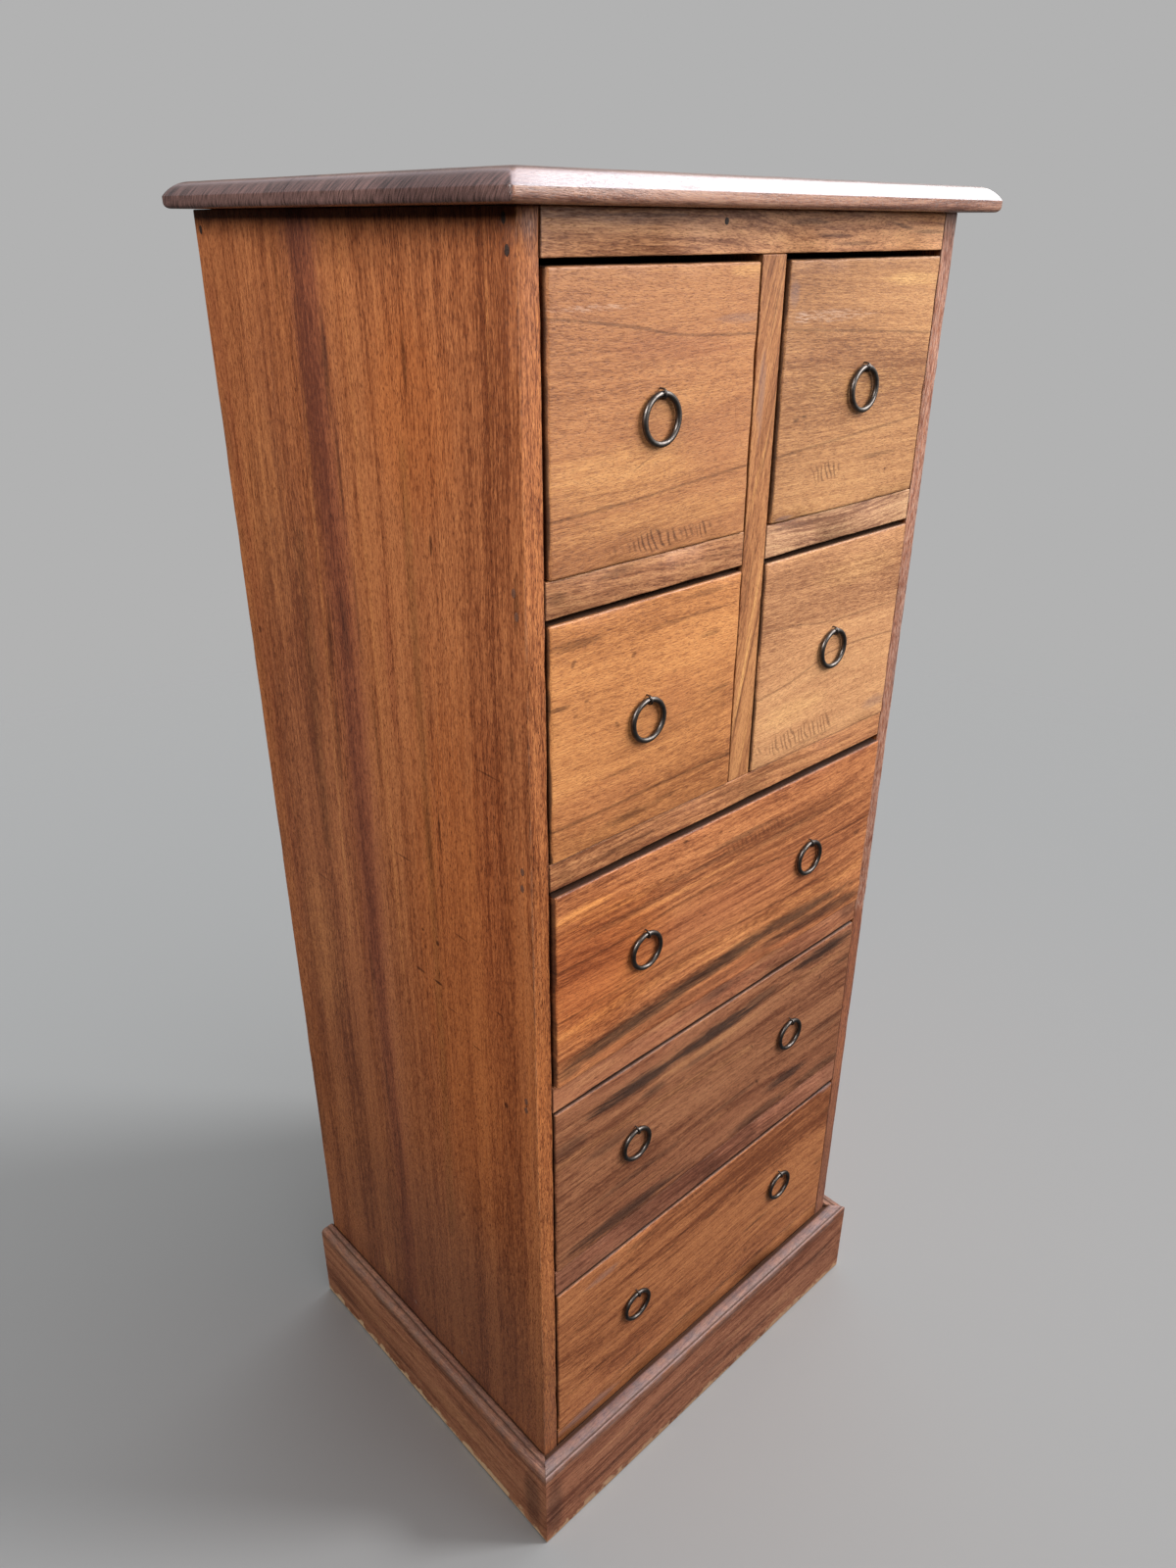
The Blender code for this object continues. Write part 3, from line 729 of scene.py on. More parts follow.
FRONTS = {
    "drawer_1_left": Front(
        tone(0.402, 0.167, 0.067),
        1.3,
        0.0005,
        {
            "red": [Mark(-100, 1166, 75, 12, 0.34, -0.05), Mark(-60, 1108, 50, 34, 0.20)],
            "dark": [
                Seam(((-240, 1190), (-188, 1185.5), (-141, 1180), (-94, 1173), (-5, 1170)), 1.1, 0.45),
                Seam(((-240, 1064), (-141, 1068.4), (-79, 1073), (0, 1078)), 1.1, 0.45),
                Mark(-131, 1093, 12, 0.9, 0.45, 0.45),
                Mark(-150, 1175, 0.5, 5, 0.35),
                Mark(-36, 1117, 0.5, 6, 0.35),
                Mark(-161, 1097, 0.5, 5, 0.30),
                Ripple(-106, 1036.5, 66, 8, 0.68),
            ],
            "grey": [Mark(-38, 1181, 28, 4, 0.35)],
            "gold": [
                Mark(-30, 1212, 22, 6, 0.40),
                Mark(-150, 1086, 95, 26, 0.34),
                Mark(-115, 1052, 110, 14, 0.30),
                Mark(-90, 1130, 60, 16, 0.20),
            ],
            "pale": [Mark(-180, 1193, 42, 2.5, 0.22)],
        },
    ),
    "drawer_1_right": Front(
        tone(0.440, 0.210, 0.089),
        2.1,
        0.0,
        {
            "red": [Mark(60, 1150, 50, 8, 0.15)],
            "dark": [
                Seam(((5, 1171), (78, 1167), (140, 1163.4), (240, 1157)), 1.1, 0.42),
                Seam(((5, 1077), (78, 1082), (156, 1087), (240, 1092)), 1.1, 0.42),
                Mark(38, 1104, 5, 2.2, 0.60),
                Mark(48, 1105.5, 4, 1.8, 0.65),
                Ripple(83, 1059, 26, 9, 0.60),
                Mark(154, 1064, 38, 2.2, 0.40),
                Mark(172, 1050, 1.6, 1.6, 0.70),
            ],
            "grey": [Mark(24, 1195, 7, 11, 0.40), Mark(32, 1028, 13, 3, 0.45)],
            "gold": [Mark(180, 1201, 48, 7, 0.42, -0.03), Mark(120, 1125, 90, 16, 0.24)],
            "pale": [Mark(75, 1178, 60, 5.5, 0.26, -0.02), Mark(35, 1178, 12, 5, 0.45)],
        },
    ),
    "drawer_2_left": Front(
        tone(0.500, 0.202, 0.070),
        3.7,
        0.0,
        {
            "red": [Mark(-170, 842, 70, 26, 0.30), Mark(-90, 905, 30, 30, 0.20)],
            "dark": [
                Mark(-195, 976, 30, 4.5, 0.48),
                Mark(-194, 977, 9, 3.5, 0.50),
                Mark(-54, 985.5, 36, 3, 0.38),
                Mark(-80, 970, 60, 2.5, 0.42),
                Mark(-198, 962, 3.2, 3.2, 0.60, 0.6),
                Mark(-137, 954, 3.2, 3.0, 0.55, 0.5),
                Mark(-153, 902, 3.2, 3.0, 0.52, -0.6),
                Mark(-50, 951, 17, 3, 0.50),
                Mark(-212, 931, 12, 2.4, 0.70, -0.05),
                Mark(-185, 930, 3, 1.8, 0.50),
                Mark(-196, 921, 3, 1.6, 0.45),
                Mark(-91, 929, 3, 1.5, 0.45),
                Mark(-36, 900, 17, 2.6, 0.48, 0.08),
                Mark(-90, 890, 90, 1.0, 0.22, 0.03),
                Mark(-110, 882, 80, 0.9, 0.20, 0.03),
                Mark(-147, 861, 30, 2, 0.48),
                Seam(((-240, 833), (-150, 834), (-80, 835.5), (0, 834)), 1.7, 0.58),
                Mark(-141, 818.5, 33, 5, 0.62),
                Mark(-98, 821, 20, 3, 0.45, 0.05),
            ],
        },
    ),
    "drawer_2_right": Front(
        tone(0.505, 0.243, 0.110),
        4.9,
        0.0,
        {
            "dark": [
                Seam(((5, 936), (62, 931), (124, 923.4), (240, 922)), 1.1, 0.38),
                Seam(((5, 873), (46, 876.6), (96, 887.5), (124, 893.8), (240, 888)), 1.1, 0.42),
                Ripple(85, 822, 78, 12, 0.52),
                Mark(100, 812, 60, 1.4, 0.35, 0.03),
            ],
            "grey": [Mark(202, 822, 24, 8, 0.34)],
            "gold": [Mark(150, 965, 80, 16, 0.30), Mark(70, 850, 60, 14, 0.22)],
        },
    ),
    "drawer_3": Front(
        tone(0.455, 0.165, 0.062),
        6.2,
        0.0010,
        {
            "red": [
                Mark(-20, 680, 230, 24, 0.30),
                Mark(0, 594, 280, 15, 0.40),
                Mark(-190, 690, 70, 60, 0.40),
            ],
            "amber": [Mark(-180, 690, 110, 90, 0.80)],
            "olive": [Mark(90, 730, 150, 16, 0.22)],
            "gold": [
                Mark(-138, 740, 92, 5, 0.36),
                Mark(-192, 752, 40, 8, 0.50),
                Seam(((-240, 638), (-100, 639), (20, 637), (240, 634)), 6.0, 0.34),
                Mark(70, 627, 150, 4, 0.30),
                Mark(-60, 721, 90, 4, 0.32),
                Mark(60, 714, 60, 4, 0.22),
            ],
            "smoke": [
                Mark(-130, 607, 110, 12, 0.84, 0.04),
                Mark(-20, 614, 130, 11, 0.86, 0.02),
                Mark(95, 617, 130, 10, 0.78, -0.03),
                Mark(135, 600, 125, 10, 0.72, -0.04),
                Mark(-205, 597, 20, 9, 0.55),
                Mark(-50, 597, 150, 6, 0.32),
                Mark(-140, 725, 80, 5, 0.34),
                Mark(-40, 734, 64, 3, 0.40),
                Mark(10, 745, 56, 4, 0.46),
                Mark(80, 725, 70, 4, 0.30),
            ],
            "dark": [
                Seam(
                    ((-240, 706), (-150, 703), (-75, 708), (-40, 708), (50, 700), (125, 692), (240, 690)),
                    1.4,
                    0.5,
                ),
                Seam(((-240, 654), (-120, 654), (-75, 657), (0, 650), (50, 647), (240, 645)), 1.3, 0.48),
                Ripple(30, 738, 60, 7, 0.34),
                Mark(-70, 769, 3.5, 2.2, 0.70),
                Mark(-24, 761, 3, 1.8, 0.55),
                Mark(-150, 740, 3, 1.6, 0.50),
                Mark(-40, 681, 3.5, 1.6, 0.60),
                Mark(198, 677, 7, 3, 0.50),
            ],
        },
    ),
    "drawer_4": Front(
        tone(0.285, 0.111, 0.052),
        7.8,
        0.0005,
        {
            "red": [Mark(-100, 545, 170, 10, 0.30), Mark(0, 390, 260, 34, 0.24)],
            "gold": [
                Seam(((-240, 493), (-120, 491), (-60, 487), (0, 480), (60, 474)), 5.0, 0.36),
                Mark(-10, 516, 95, 5, 0.36),
                Mark(154, 523, 68, 5, 0.42),
                Mark(0, 408, 40, 5, 0.34),
                Mark(-100, 394, 60, 6, 0.28),
            ],
            "smoke": [
                Mark(-120, 528, 80, 10, 0.88),
                Mark(-10, 529, 100, 10, 0.88),
                Mark(60, 533, 40, 9, 0.60),
                Mark(165, 541, 66, 10, 0.82),
                Mark(-97, 507, 22, 7, 0.56),
                Mark(-25, 508, 40, 5, 0.42),
                Mark(208, 510, 22, 4, 0.44),
                Mark(-205, 507, 30, 12, 0.46),
                Mark(-150, 478, 42, 9, 0.40),
                Mark(120, 395, 44, 10, 0.78, -0.05),
                Mark(-132, 373, 100, 11, 0.74),
                Mark(75, 370, 60, 8, 0.50),
                Mark(185, 369, 60, 8, 0.48),
                Mark(-105, 415, 70, 5, 0.42),
                Mark(25, 419, 60, 4, 0.38),
                Mark(190, 430, 40, 12, 0.28),
            ],
            "dark": [
                Mark(53, 475, 3, 2.5, 0.60, -1.2),
                Mark(68, 418, 3.5, 2.4, 0.60, -0.8),
                Mark(166, 507, 3, 2.8, 0.60),
            ],
        },
    ),
    "drawer_5": Front(
        tone(0.365, 0.130, 0.050),
        9.4,
        0.0010,
        {
            "red": [Mark(-150, 150, 90, 20, 0.16)],
            "grey": [Mark(-160, 307, 27, 6, 0.42), Mark(208, 325, 14, 6, 0.50)],
            "dark": [
                Mark(-60, 268, 16, 2.2, 0.60, 0.1),
                Mark(-40, 275, 10, 2, 0.50),
                Mark(5, 268, 18, 3, 0.65),
                Mark(60, 268.5, 11, 3, 0.60),
                Mark(-155, 267, 12, 2, 0.50, -0.2),
                Mark(-185, 268, 15, 1.5, 0.35),
                Mark(125, 267, 36, 1.5, 0.42),
                Mark(-60, 253, 26, 2.5, 0.45),
                Mark(-180, 257, 36, 3, 0.42),
                Mark(-115, 275, 10, 2, 0.40),
                Mark(135, 283, 52, 1.4, 0.42, 0.06),
                Mark(0, 299, 82, 1.3, 0.46, 0.03),
                Mark(-130, 297, 26, 2, 0.40),
                Mark(-100, 313, 31, 6, 0.42),
                Ripple(-30, 320, 32, 4, 0.40),
                Mark(90, 192, 29, 3, 0.65),
                Mark(130, 189, 10, 2, 0.42, -0.3),
                Mark(-110, 138, 36, 3.5, 0.65),
                Mark(-35, 134, 21, 2.5, 0.50),
                Mark(45, 131, 72, 2.5, 0.55),
                Mark(100, 132, 12, 3, 0.60),
                Mark(-100, 164, 56, 1.3, 0.46),
                Mark(12, 162, 3, 3, 0.50),
                Mark(75, 157, 4, 4, 0.42),
                Mark(57, 152, 4, 3, 0.40),
                Mark(170, 150, 31, 2, 0.36),
                Mark(210, 205, 12, 5, 0.42),
                Mark(215, 285, 15, 5, 0.36),
                Mark(-160, 177, 26, 2, 0.36),
                Mark(-200, 172, 20, 2, 0.32),
            ],
        },
    ),
}

STILE_MARKS = {  # on the front edges of the sides
    "left_side": {
        "dark": [
            Seam(((90, -190.5), (600, -190.6), (1010, -190.4)), 2.0, 0.12),
            Mark(720, -190.5, 130, 2.5, 0.28),
            Mark(250, -190.5, 60, 2.5, 0.20),
        ],
        "gold": [Seam(((60, -190.5), (600, -190.6), (1260, -190.4)), 2.0, 0.26)],
    },
    "right_side": {
        "dark": [Mark(700, -190.5, 300, 2.5, 0.25)],
        # the grey and pale seams paint a sheen along the front edge
        "grey": [Seam(((90, -190.5), (600, -190.6), (1260, -190.4)), 2.0, 0.22)],
        "pale": [Seam(((560, -190.5), (800, -190.6), (1260, -190.4)), 2.0, 0.28)],
    },
}

SIDE_MARKS = {  # on both sides; the heights run along the grain
    "red": [
        Seam(((90, 42), (300, 38), (520, 43), (720, 40)), 17, 0.50),
        Seam(((560, 50), (700, 46), (900, 44), (1100, 50), (1260, 52)), 22, 0.58),
        Seam(((560, 186), (800, 190), (1000, 196), (1200, 202)), 9, 0.26),
        Mark(930, -20, 90, 8, 0.34),
        Mark(760, -140, 220, 20, 0.20),
        Mark(420, 20, 260, 120, 0.14),
    ],
    "amber": [Mark(640, -110, 340, 110, 0.70), Mark(1120, -70, 90, 60, 0.50)],
    "olive": [
        Seam(((300, -50), (600, -56), (800, -58), (1110, -58)), 6, 0.42),
        Seam(((690, 116), (800, 112), (900, 108), (1020, 102)), 10, 0.40),
        Mark(330, 120, 220, 90, 0.14),
    ],
    "dark": [
        Mark(1145, 34, 48, 4.5, 0.66),
        Mark(1070, 29, 45, 3.0, 0.60),
        Mark(940, 44, 48, 6.0, 0.50),
        Mark(920, 70, 48, 4.5, 0.56, -0.09),
        Mark(820, 75, 60, 3.9, 0.55, -0.03),
        Mark(960, 22, 60, 3.0, 0.40),
        Mark(850, 10, 60, 3.0, 0.42),
        Mark(590, 56, 40, 4.0, 0.48),
        Mark(445, 50, 42, 4.0, 0.52),
        Mark(330, 36, 80, 7.0, 0.50),
        Mark(270, 72, 26, 5.0, 0.42),
        Mark(1210, 93, 26, 3.0, 0.50),
        Mark(1155, -68, 22, 3.6, 0.57),
        Mark(780, -58, 40, 5.0, 0.34),
        Mark(1034, -86, 9, 2.4, 0.75),
        Mark(792, -74, 24, 1.4, 0.81),
        Mark(790, -115, 12, 1.4, 0.70),
        Mark(870, -141, 1.2, 17, 0.65, 4.0),
        Mark(745, -17, 1.2, 17, 0.65, -1.7),
        Mark(658, 132, 1.2, 17, 0.57, -1.2),
        Mark(632, -57, 2.1, 8, 0.92),
        Mark(632, -30, 2.1, 8, 0.77),
        Mark(647, -144, 1.4, 7, 0.65),
        Mark(676, -60, 3.5, 3.3, 0.92),
        Mark(680, -39, 1.6, 2.4, 0.85),
        Mark(550, -149, 4, 3.6, 0.92),
        Mark(1242, 195, 10, 9.0, 0.60),
        Mark(900, 197, 4.0, 4.0, 0.60),
        Mark(1005, -180, 20, 3.4, 0.62),
        Mark(168, -38, 12, 34, 0.45, 0.15),
        # painted shadow under the top's overhang
        Mark(1258, 0, 52, 270, 0.50),
        # painted shade: these two darken the side towards its foot
        Mark(104, 0, 70, 270, 0.52),
        Mark(60, -60, 380, 260, 0.40),
        Mark(905, -172, 16, 3.0, 0.55),
        Mark(1014, -181, 22, 3.0, 0.55),
        Mark(700, -95, 1, 12, 0.70, 2.0),
        Mark(612, -75, 1, 10, 0.65, -2.2),
        Mark(590, -110, 1, 9, 0.65, 1.4),
    ],
    "grey": [
        Mark(120, 0, 300, 300, 0.14),
        Mark(640, 125, 620, 85, 0.08),
        Seam(((90, 42), (500, 42), (900, 46), (1260, 54)), 28, 0.09),
    ],
    "gold": [
        Seam(((600, 92), (700, 88), (800, 84), (900, 79), (1000, 76), (1130, 70)), 2.3, 0.40),
        Seam(((600, 0), (750, -1), (900, 1), (1010, 1), (1240, 2)), 1.8, 0.24),
        Mark(1208, 32, 14, 1.8, 0.55),
        Mark(1150, -160, 90, 2.0, 0.32),
        Mark(560, 150, 110, 45, 0.38),
        Mark(1010, 150, 110, 45, 0.32),
        Mark(143, 89, 20, 9, 0.42),
    ],
    "pale": [
        Mark(128, -52, 5, 2.5, 0.32),
        Mark(129, 35, 5, 2.5, 0.32),
    ],
}

# A rail: middle tone, how much of its top arris is rubbed, and its marks
Rail = namedtuple("Rail", "middle top_rub marks")

RAILS = {
    # its middle tone is painted lighter to offset the shadow under the top
    "top_rail": Rail(
        tone(0.530, 0.245, 0.115),
        0.0,
        {
            "dark": [
                Mark(37, 1242, 26, 2.6, 0.62),
                Mark(71, 1233, 27, 1.8, 0.56),
                Mark(98, 1227.5, 35, 1.8, 0.56),
                Mark(160, 1239.5, 22, 1.8, 0.60, -0.16),
                Mark(196, 1235.5, 27, 1.8, 0.56),
                Mark(-150, 1244, 90, 5, 0.32),
            ],
        },
    ),
    "mid_rail_left": Rail(
        tone(0.394, 0.173, 0.078),
        0.0,
        {
            "dark": [
                Mark(-211, 1012, 12, 6, 0.40),
                Mark(-155, 1019, 21, 4, 0.42, 0.1),
                Mark(-60, 1012, 60, 2, 0.25),
            ],
        },
    ),
    "mid_rail_right": Rail(tone(0.455, 0.238, 0.126), 0.0, {"dark": [Mark(50, 1019, 40, 2.2, 0.34)]}),
    "rail_3": Rail(
        tone(0.455, 0.191, 0.080),
        0.0,
        {
            "dark": [
                Mark(-140, 791, 50, 3, 0.45, 0.02),
                Mark(20, 796, 90, 2, 0.30),
                Mark(120, 794, 60, 1.6, 0.35),
            ],
        },
    ),
    "rail_4": Rail(
        tone(0.350, 0.132, 0.063),
        0.0,
        {
            "red": [Mark(0, 575, 260, 14, 0.24)],
            "gold": [
                Mark(-170, 572, 40, 6, 0.40),
                Mark(-80, 578, 42, 6, 0.44),
                Mark(70, 580, 42, 6, 0.34),
                Mark(165, 575, 32, 6, 0.30),
            ],
            "smoke": [Mark(-10, 576, 30, 9, 0.46), Mark(207, 575, 18, 12, 0.46)],
            "dark": [
                Mark(-50, 576, 30, 2.2, 0.40, 0.06),
                Mark(20, 575, 50, 3.4, 0.42),
                Mark(140, 564, 50, 2.4, 0.35),
            ],
        },
    ),
    "rail_5": Rail(
        tone(0.262, 0.100, 0.055),
        0.20,
        {"dark": [Mark(40, 342, 110, 2.2, 0.35), Mark(-140, 352, 60, 2, 0.30)]},
    ),
    "bottom_board": Rail(
        tone(0.270, 0.096, 0.036),
        0.0,
        {"grey": [Mark(-178, 118, 50, 8, 0.55)], "dark": [Mark(-150, 115, 70, 3, 0.35)]},
    ),
}

MUNTIN_MARKS = {
    "grey": [Mark(1128, -5, 38, 5, 0.45)],
    "gold": [
        Mark(1066, -2, 38, 2.6, 0.50, 0.25),
        Mark(960, 4, 40, 2.0, 0.45, 0.22),
        Mark(900, -4, 46, 2.4, 0.50, 0.20),
        Mark(850, 6, 40, 2.0, 0.40, 0.20),
    ],
    "dark": [
        Mark(1190, 6, 40, 1.4, 0.40, 0.20),
        Mark(1090, 7, 36, 1.2, 0.45, 0.22),
        Mark(985, -4, 34, 1.6, 0.45, 0.22),
        Mark(930, 6, 36, 1.4, 0.48, 0.22),
        Mark(870, -7, 40, 1.6, 0.45, 0.20),
    ],
}


def top_arris(box):
    """Box of which only the top front arris lies on the board."""
    low, high = box
    return low + Vector((-1.0, 0.0, -1.0)), high + Vector((1.0, 1.0, 0.0))


def joint_lines(box):
    """Dark joints at both ends of a rail."""
    low, high = (corner / MM for corner in box)
    middle, height = (low.z + high.z) / 2, high.z - low.z
    return [Mark(end, middle, JOINT_HALF, height, JOINT_STRENGTH) for end in (low.x, high.x)]


def dress_fronts():
    """Fronts of the seven drawers."""
    for prefix, front in FRONTS.items():
        node = f"{prefix}_front"
        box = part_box(node)
        wide = prefix in WIDE_DRAWERS
        rubbed, top_shade_amount = WIDE_WEAR_AND_SHADE if wide else SMALL_WEAR_AND_SHADE
        wood = Polish(f"{prefix}_wood", ACROSS_FRONT, front.middle, front.seed, STRIPED if wide else CALM)
        wood.draw(front.marks)
        wood.rub(top_arris(box), FRONT_RUB_REACH, rubbed)
        # painted shade in the gaps and on the edges that face up
        wood.paint_gap_shade(box)
        wood.paint_top_shade(top_shade_amount)
        worn_board(
            node.replace("front", "worn_front"),
            *box,
            wood.finish(),
            prefix,
            "front_wood",
            [node],
            front.seed,
            FRONT_ARRIS,
            GRID_FRONT,
            front.sag,
        )


SIDE_SEEDS = {"left_side": 11.0, "right_side": 14.5}
RAIL_SEED, RAIL_SEED_STEP = 20.0, 1.7


def dress_carcass_boards():
    """Both sides, the rails across the front and the bottom board."""
    for node, seed in SIDE_SEEDS.items():
        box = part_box(node)
        wood = Polish(f"{node}_wood", UP_SIDE, SIDE_BROWN, seed, STREAKY, sway=SIDE_SWAY)
        wood.draw(SIDE_MARKS)
        wood.draw(STILE_MARKS[node])
        wood.rub(box, *SIDE_RUB)
        worn_board(f"{node}_worn", *box, wood.finish(), "carcass", "carcass_wood", [node], seed)
    for number, (node, rail) in enumerate(RAILS.items()):
        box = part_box(node)
        seed = RAIL_SEED + RAIL_SEED_STEP * number
        wood = Polish(f"{node}_wood", ACROSS_FRONT, rail.middle, seed, STRIPED)
        wood.draw(rail.marks)
        wood.draw({"dark": joint_lines(box)})
        if rail.top_rub:
            wood.rub(top_arris(box), RAIL_RUB_REACH, rail.top_rub)
        worn_board(f"{node}_worn", *box, wood.finish(), "carcass", "rail_wood", [node], seed)


WELD_REACH = 0.00001
ROUNDING_STEPS = 2
MUNTIN_LEAN = 0.22  # slope of the divider's grain
DUST_BOARDS = ("mid_dust_board", "dust_board_3", "dust_board_4", "dust_board_5")


def dress_node(node, material, arris):
    """Give a CAD board that is shown as it is its material, and round its edges."""
    thing = frame["nodes"][node]
    thing.data.materials.clear()
    thing.data.materials.append(material)
    weld = thing.modifiers.new("join_corners", "WELD")
    weld.merge_threshold = WELD_REACH
    bevel = thing.modifiers.new("round_arrises", "BEVEL")
    bevel.width = arris
    bevel.segments = ROUNDING_STEPS
    bevel.limit_method = "ANGLE"
    bevel.angle_limit = SHARP_ANGLE


def dress_inside():
    """Divider, back, dust boards and drawer bottoms keep their CAD shape."""
    divider = Polish("centre_divider_wood", UP_MUNTIN, MUNTIN_BROWN, 31.0, STRIPED, lean=MUNTIN_LEAN)
    divider.draw(MUNTIN_MARKS)
    dress_node("centre_divider", divider.finish(), ARRIS)
    dress_node("back_panel", bare_wood("back_panel_wood", UP_SIDE, seed=33.0), BOX_ARRIS)
    flat = bare_wood("dust_board_wood", ACROSS_TOP, seed=35.0)
    for node in (*DUST_BOARDS, *(f"{prefix}_bottom" for prefix in FRONTS)):
        dress_node(node, flat, BOX_ARRIS)


BOX_SEED = 50.0
BOX_SIDE_WOOD, BOX_BACK_WOOD = 0, 1  # places in the list of a box's materials


def dress_boxes():
    """Two sides and a back for each drawer, butted at the corners."""
    sides = bare_wood("drawer_side_wood", ALONG_SIDE, seed=37.0)
    backs = bare_wood("drawer_back_wood", ACROSS_FRONT, seed=39.0)
    for number, prefix in enumerate(FRONTS):
        low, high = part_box(f"{prefix}_box")
        left, right, back = low.x + BOX_WALL, high.x - BOX_WALL, high.y - BOX_WALL
        boards = (
            (low, Vector((left, high.y, high.z)), BOX_SIDE_WOOD),
            (Vector((right, low.y, low.z)), high, BOX_SIDE_WOOD),
            (Vector((left, back, low.z)), Vector((right, high.y, high.z)), BOX_BACK_WOOD),
        )
        whole = bmesh.new()
        for board_low, board_high, wood in boards:
            shape = rounded_board(board_low, board_high, BOX_ARRIS, GRID_BOX)
            wear_board(shape, board_low, board_high, BOX_SEED + number, BOX_ARRIS)
            for face in shape.faces:
                face.material_index = wood
            mesh = bpy.data.meshes.new("board")
            shape.to_mesh(mesh)
            shape.free()
            whole.from_mesh(mesh)
            bpy.data.meshes.remove(mesh)
        show(f"{prefix}_box_boards", whole, [sides, backs], prefix, [f"{prefix}_box"])


TOP_NOSE = 0.0088  # height of the flat edge under the moulding
TOP_MOULDING = 0.020  # width of the moulding
TOP_MOULDING_STEPS = 32
TOP_STEP_GROWTH = 1.5  # the steps widen towards the flat
TOP_LANDING = 0.002  # level strip at the head of the moulding
TOP_UNDER_RADIUS = 0.004
TOP_CORNER = 0.003
TOP_CORNER_STEPS = 4
TOP_SPACING = 0.02
TOP_CURVE = 2.7  # how steeply the moulding starts
TOP_ARRIS = 0.0005
TOP_DIP = 0.0002
TOP_DIP_SCALE = 30.0
TOP_DIP_START = Vector((5.1, 2.2, 8.4))


def rounded_loop(low, high, inset, height):
    """Points round a rectangle with rounded corners, inset from its box, at one height."""
    x0, y0, x1, y1 = low.x + inset, low.y + inset, high.x - inset, high.y - inset
    counts = (int((high.x - low.x) / TOP_SPACING), int((high.y - low.y) / TOP_SPACING))
    corners = (
        ((x1 - TOP_CORNER, y0 + TOP_CORNER), 270),
        ((x1 - TOP_CORNER, y1 - TOP_CORNER), 0),
        ((x0 + TOP_CORNER, y1 - TOP_CORNER), 90),
        ((x0 + TOP_CORNER, y0 + TOP_CORNER), 180),
    )
    points = []
    for number, (centre, angle) in enumerate(corners):
        arc = quarter(centre, TOP_CORNER, angle, angle + 90, TOP_CORNER_STEPS)
        points += arc
        centre, angle = corners[(number + 1) % 4]
        start, end = Vector(arc[-1]), Vector(quarter(centre, TOP_CORNER, angle, angle, 1)[0])
        count = counts[1 - number % 2]
        points += [tuple(start.lerp(end, step / count)) for step in range(1, count)]
    return [Vector((x, y, height)) for x, y in points]


TOP_MARKS = {
    "dark": [
        Mark(-262, 25, 24, 0.8, 0.80),
        Mark(-262, -62, 24, 0.6, 0.60),
        Mark(-262, -140, 30, 75, 0.45),
        Mark(-120, -215, 12, 1.2, 0.50),
        Mark(60, -216, 0.6, 6, 0.50),
    ],
}
# pale lavender painted highlight on the curve of the moulding
MOULDING_HIGHLIGHT = tone(0.33, 0.305, 0.35)
DARK_POLISH = tone(0.34, 0.29, 0.28)
END_GRAIN_DEEP = tone(0.034, 0.022, 0.021)
END_GRAIN_LIGHT = tone(0.200, 0.110, 0.098)
END_GRAIN_SLANT = 0.6
END_GRAIN_SCALE = (700.0, 90.0, 1.0)
# How much of the painted highlight, the end grain and the dust with its painted sheen shows
HIGHLIGHT_SHARE, END_GRAIN_SHARE, TOP_DUST_AND_SHEEN = 0.62, 0.92, 0.15


def top_wood():
    """Dark sawn end grain on the left and right edges, a painted highlight on the long mouldings and a
    dark flat.
    """
    wood = Polish("top_board_wood", ACROSS_TOP, TOP_BROWN, 41.0, STRIPED)
    bench = wood.bench
    axes = bench.split(wood.place)
    slant = bench.maths("MULTIPLY_ADD", axes["Z"], END_GRAIN_SLANT, axes["Y"])
    strokes = bench.noise(bench.join(slant, axes["Z"], 0.0), END_GRAIN_SCALE, detail=3.0)
    end_grain = bench.ramp(strokes, ((0.36, END_GRAIN_DEEP), (0.64, END_GRAIN_LIGHT)))
    facing = bench.facing()
    sideways = bench.ease(bench.maths("ABSOLUTE", facing["X"]), 0.35, 0.65)
    flat = bench.ease(facing["Z"], 0.86, 0.97)
    moulding = bench.maths("SUBTRACT", bench.ease(facing["Z"], 0.12, 0.40), flat, clamp=True)
    # painted highlight where the moulding curves up
    wood.layer(bench.maths("MULTIPLY", moulding, HIGHLIGHT_SHARE), MOULDING_HIGHLIGHT)
    wood.layer(flat, DARK_POLISH, "MULTIPLY")
    wood.layer(bench.maths("MULTIPLY", sideways, END_GRAIN_SHARE), end_grain)
    wood.draw(TOP_MARKS)
    wood.dust(TOP_DUST_AND_SHEEN)
    return wood.finish(gloss=0.26, shine=0.5)


def dress_top():
    """Top board with its thumb moulding all round."""
    low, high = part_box("top_board")
    profile = quarter((TOP_UNDER_RADIUS, TOP_UNDER_RADIUS), TOP_UNDER_RADIUS, 270, 180, 5)
    rise = high.z - low.z - TOP_NOSE
    profile.append((0.0, TOP_NOSE - TOP_ARRIS))
    for step in range(1, TOP_MOULDING_STEPS + 1):
        share = (step / TOP_MOULDING_STEPS) ** TOP_STEP_GROWTH
        profile.append((TOP_MOULDING * share, TOP_NOSE + rise * (1 - (1 - share) ** TOP_CURVE)))
    profile.append((TOP_MOULDING + TOP_LANDING, high.z - low.z))
    shape = skin([rounded_loop(low, high, inset, low.z + up) for inset, up in profile])
    for vertex in shape.verts:
        vertex.co.z -= TOP_DIP * (1 + noise.noise(vertex.co * TOP_DIP_SCALE + TOP_DIP_START))
    show("top_board_moulded", shape, [top_wood()], "carcass", ["top_board"])


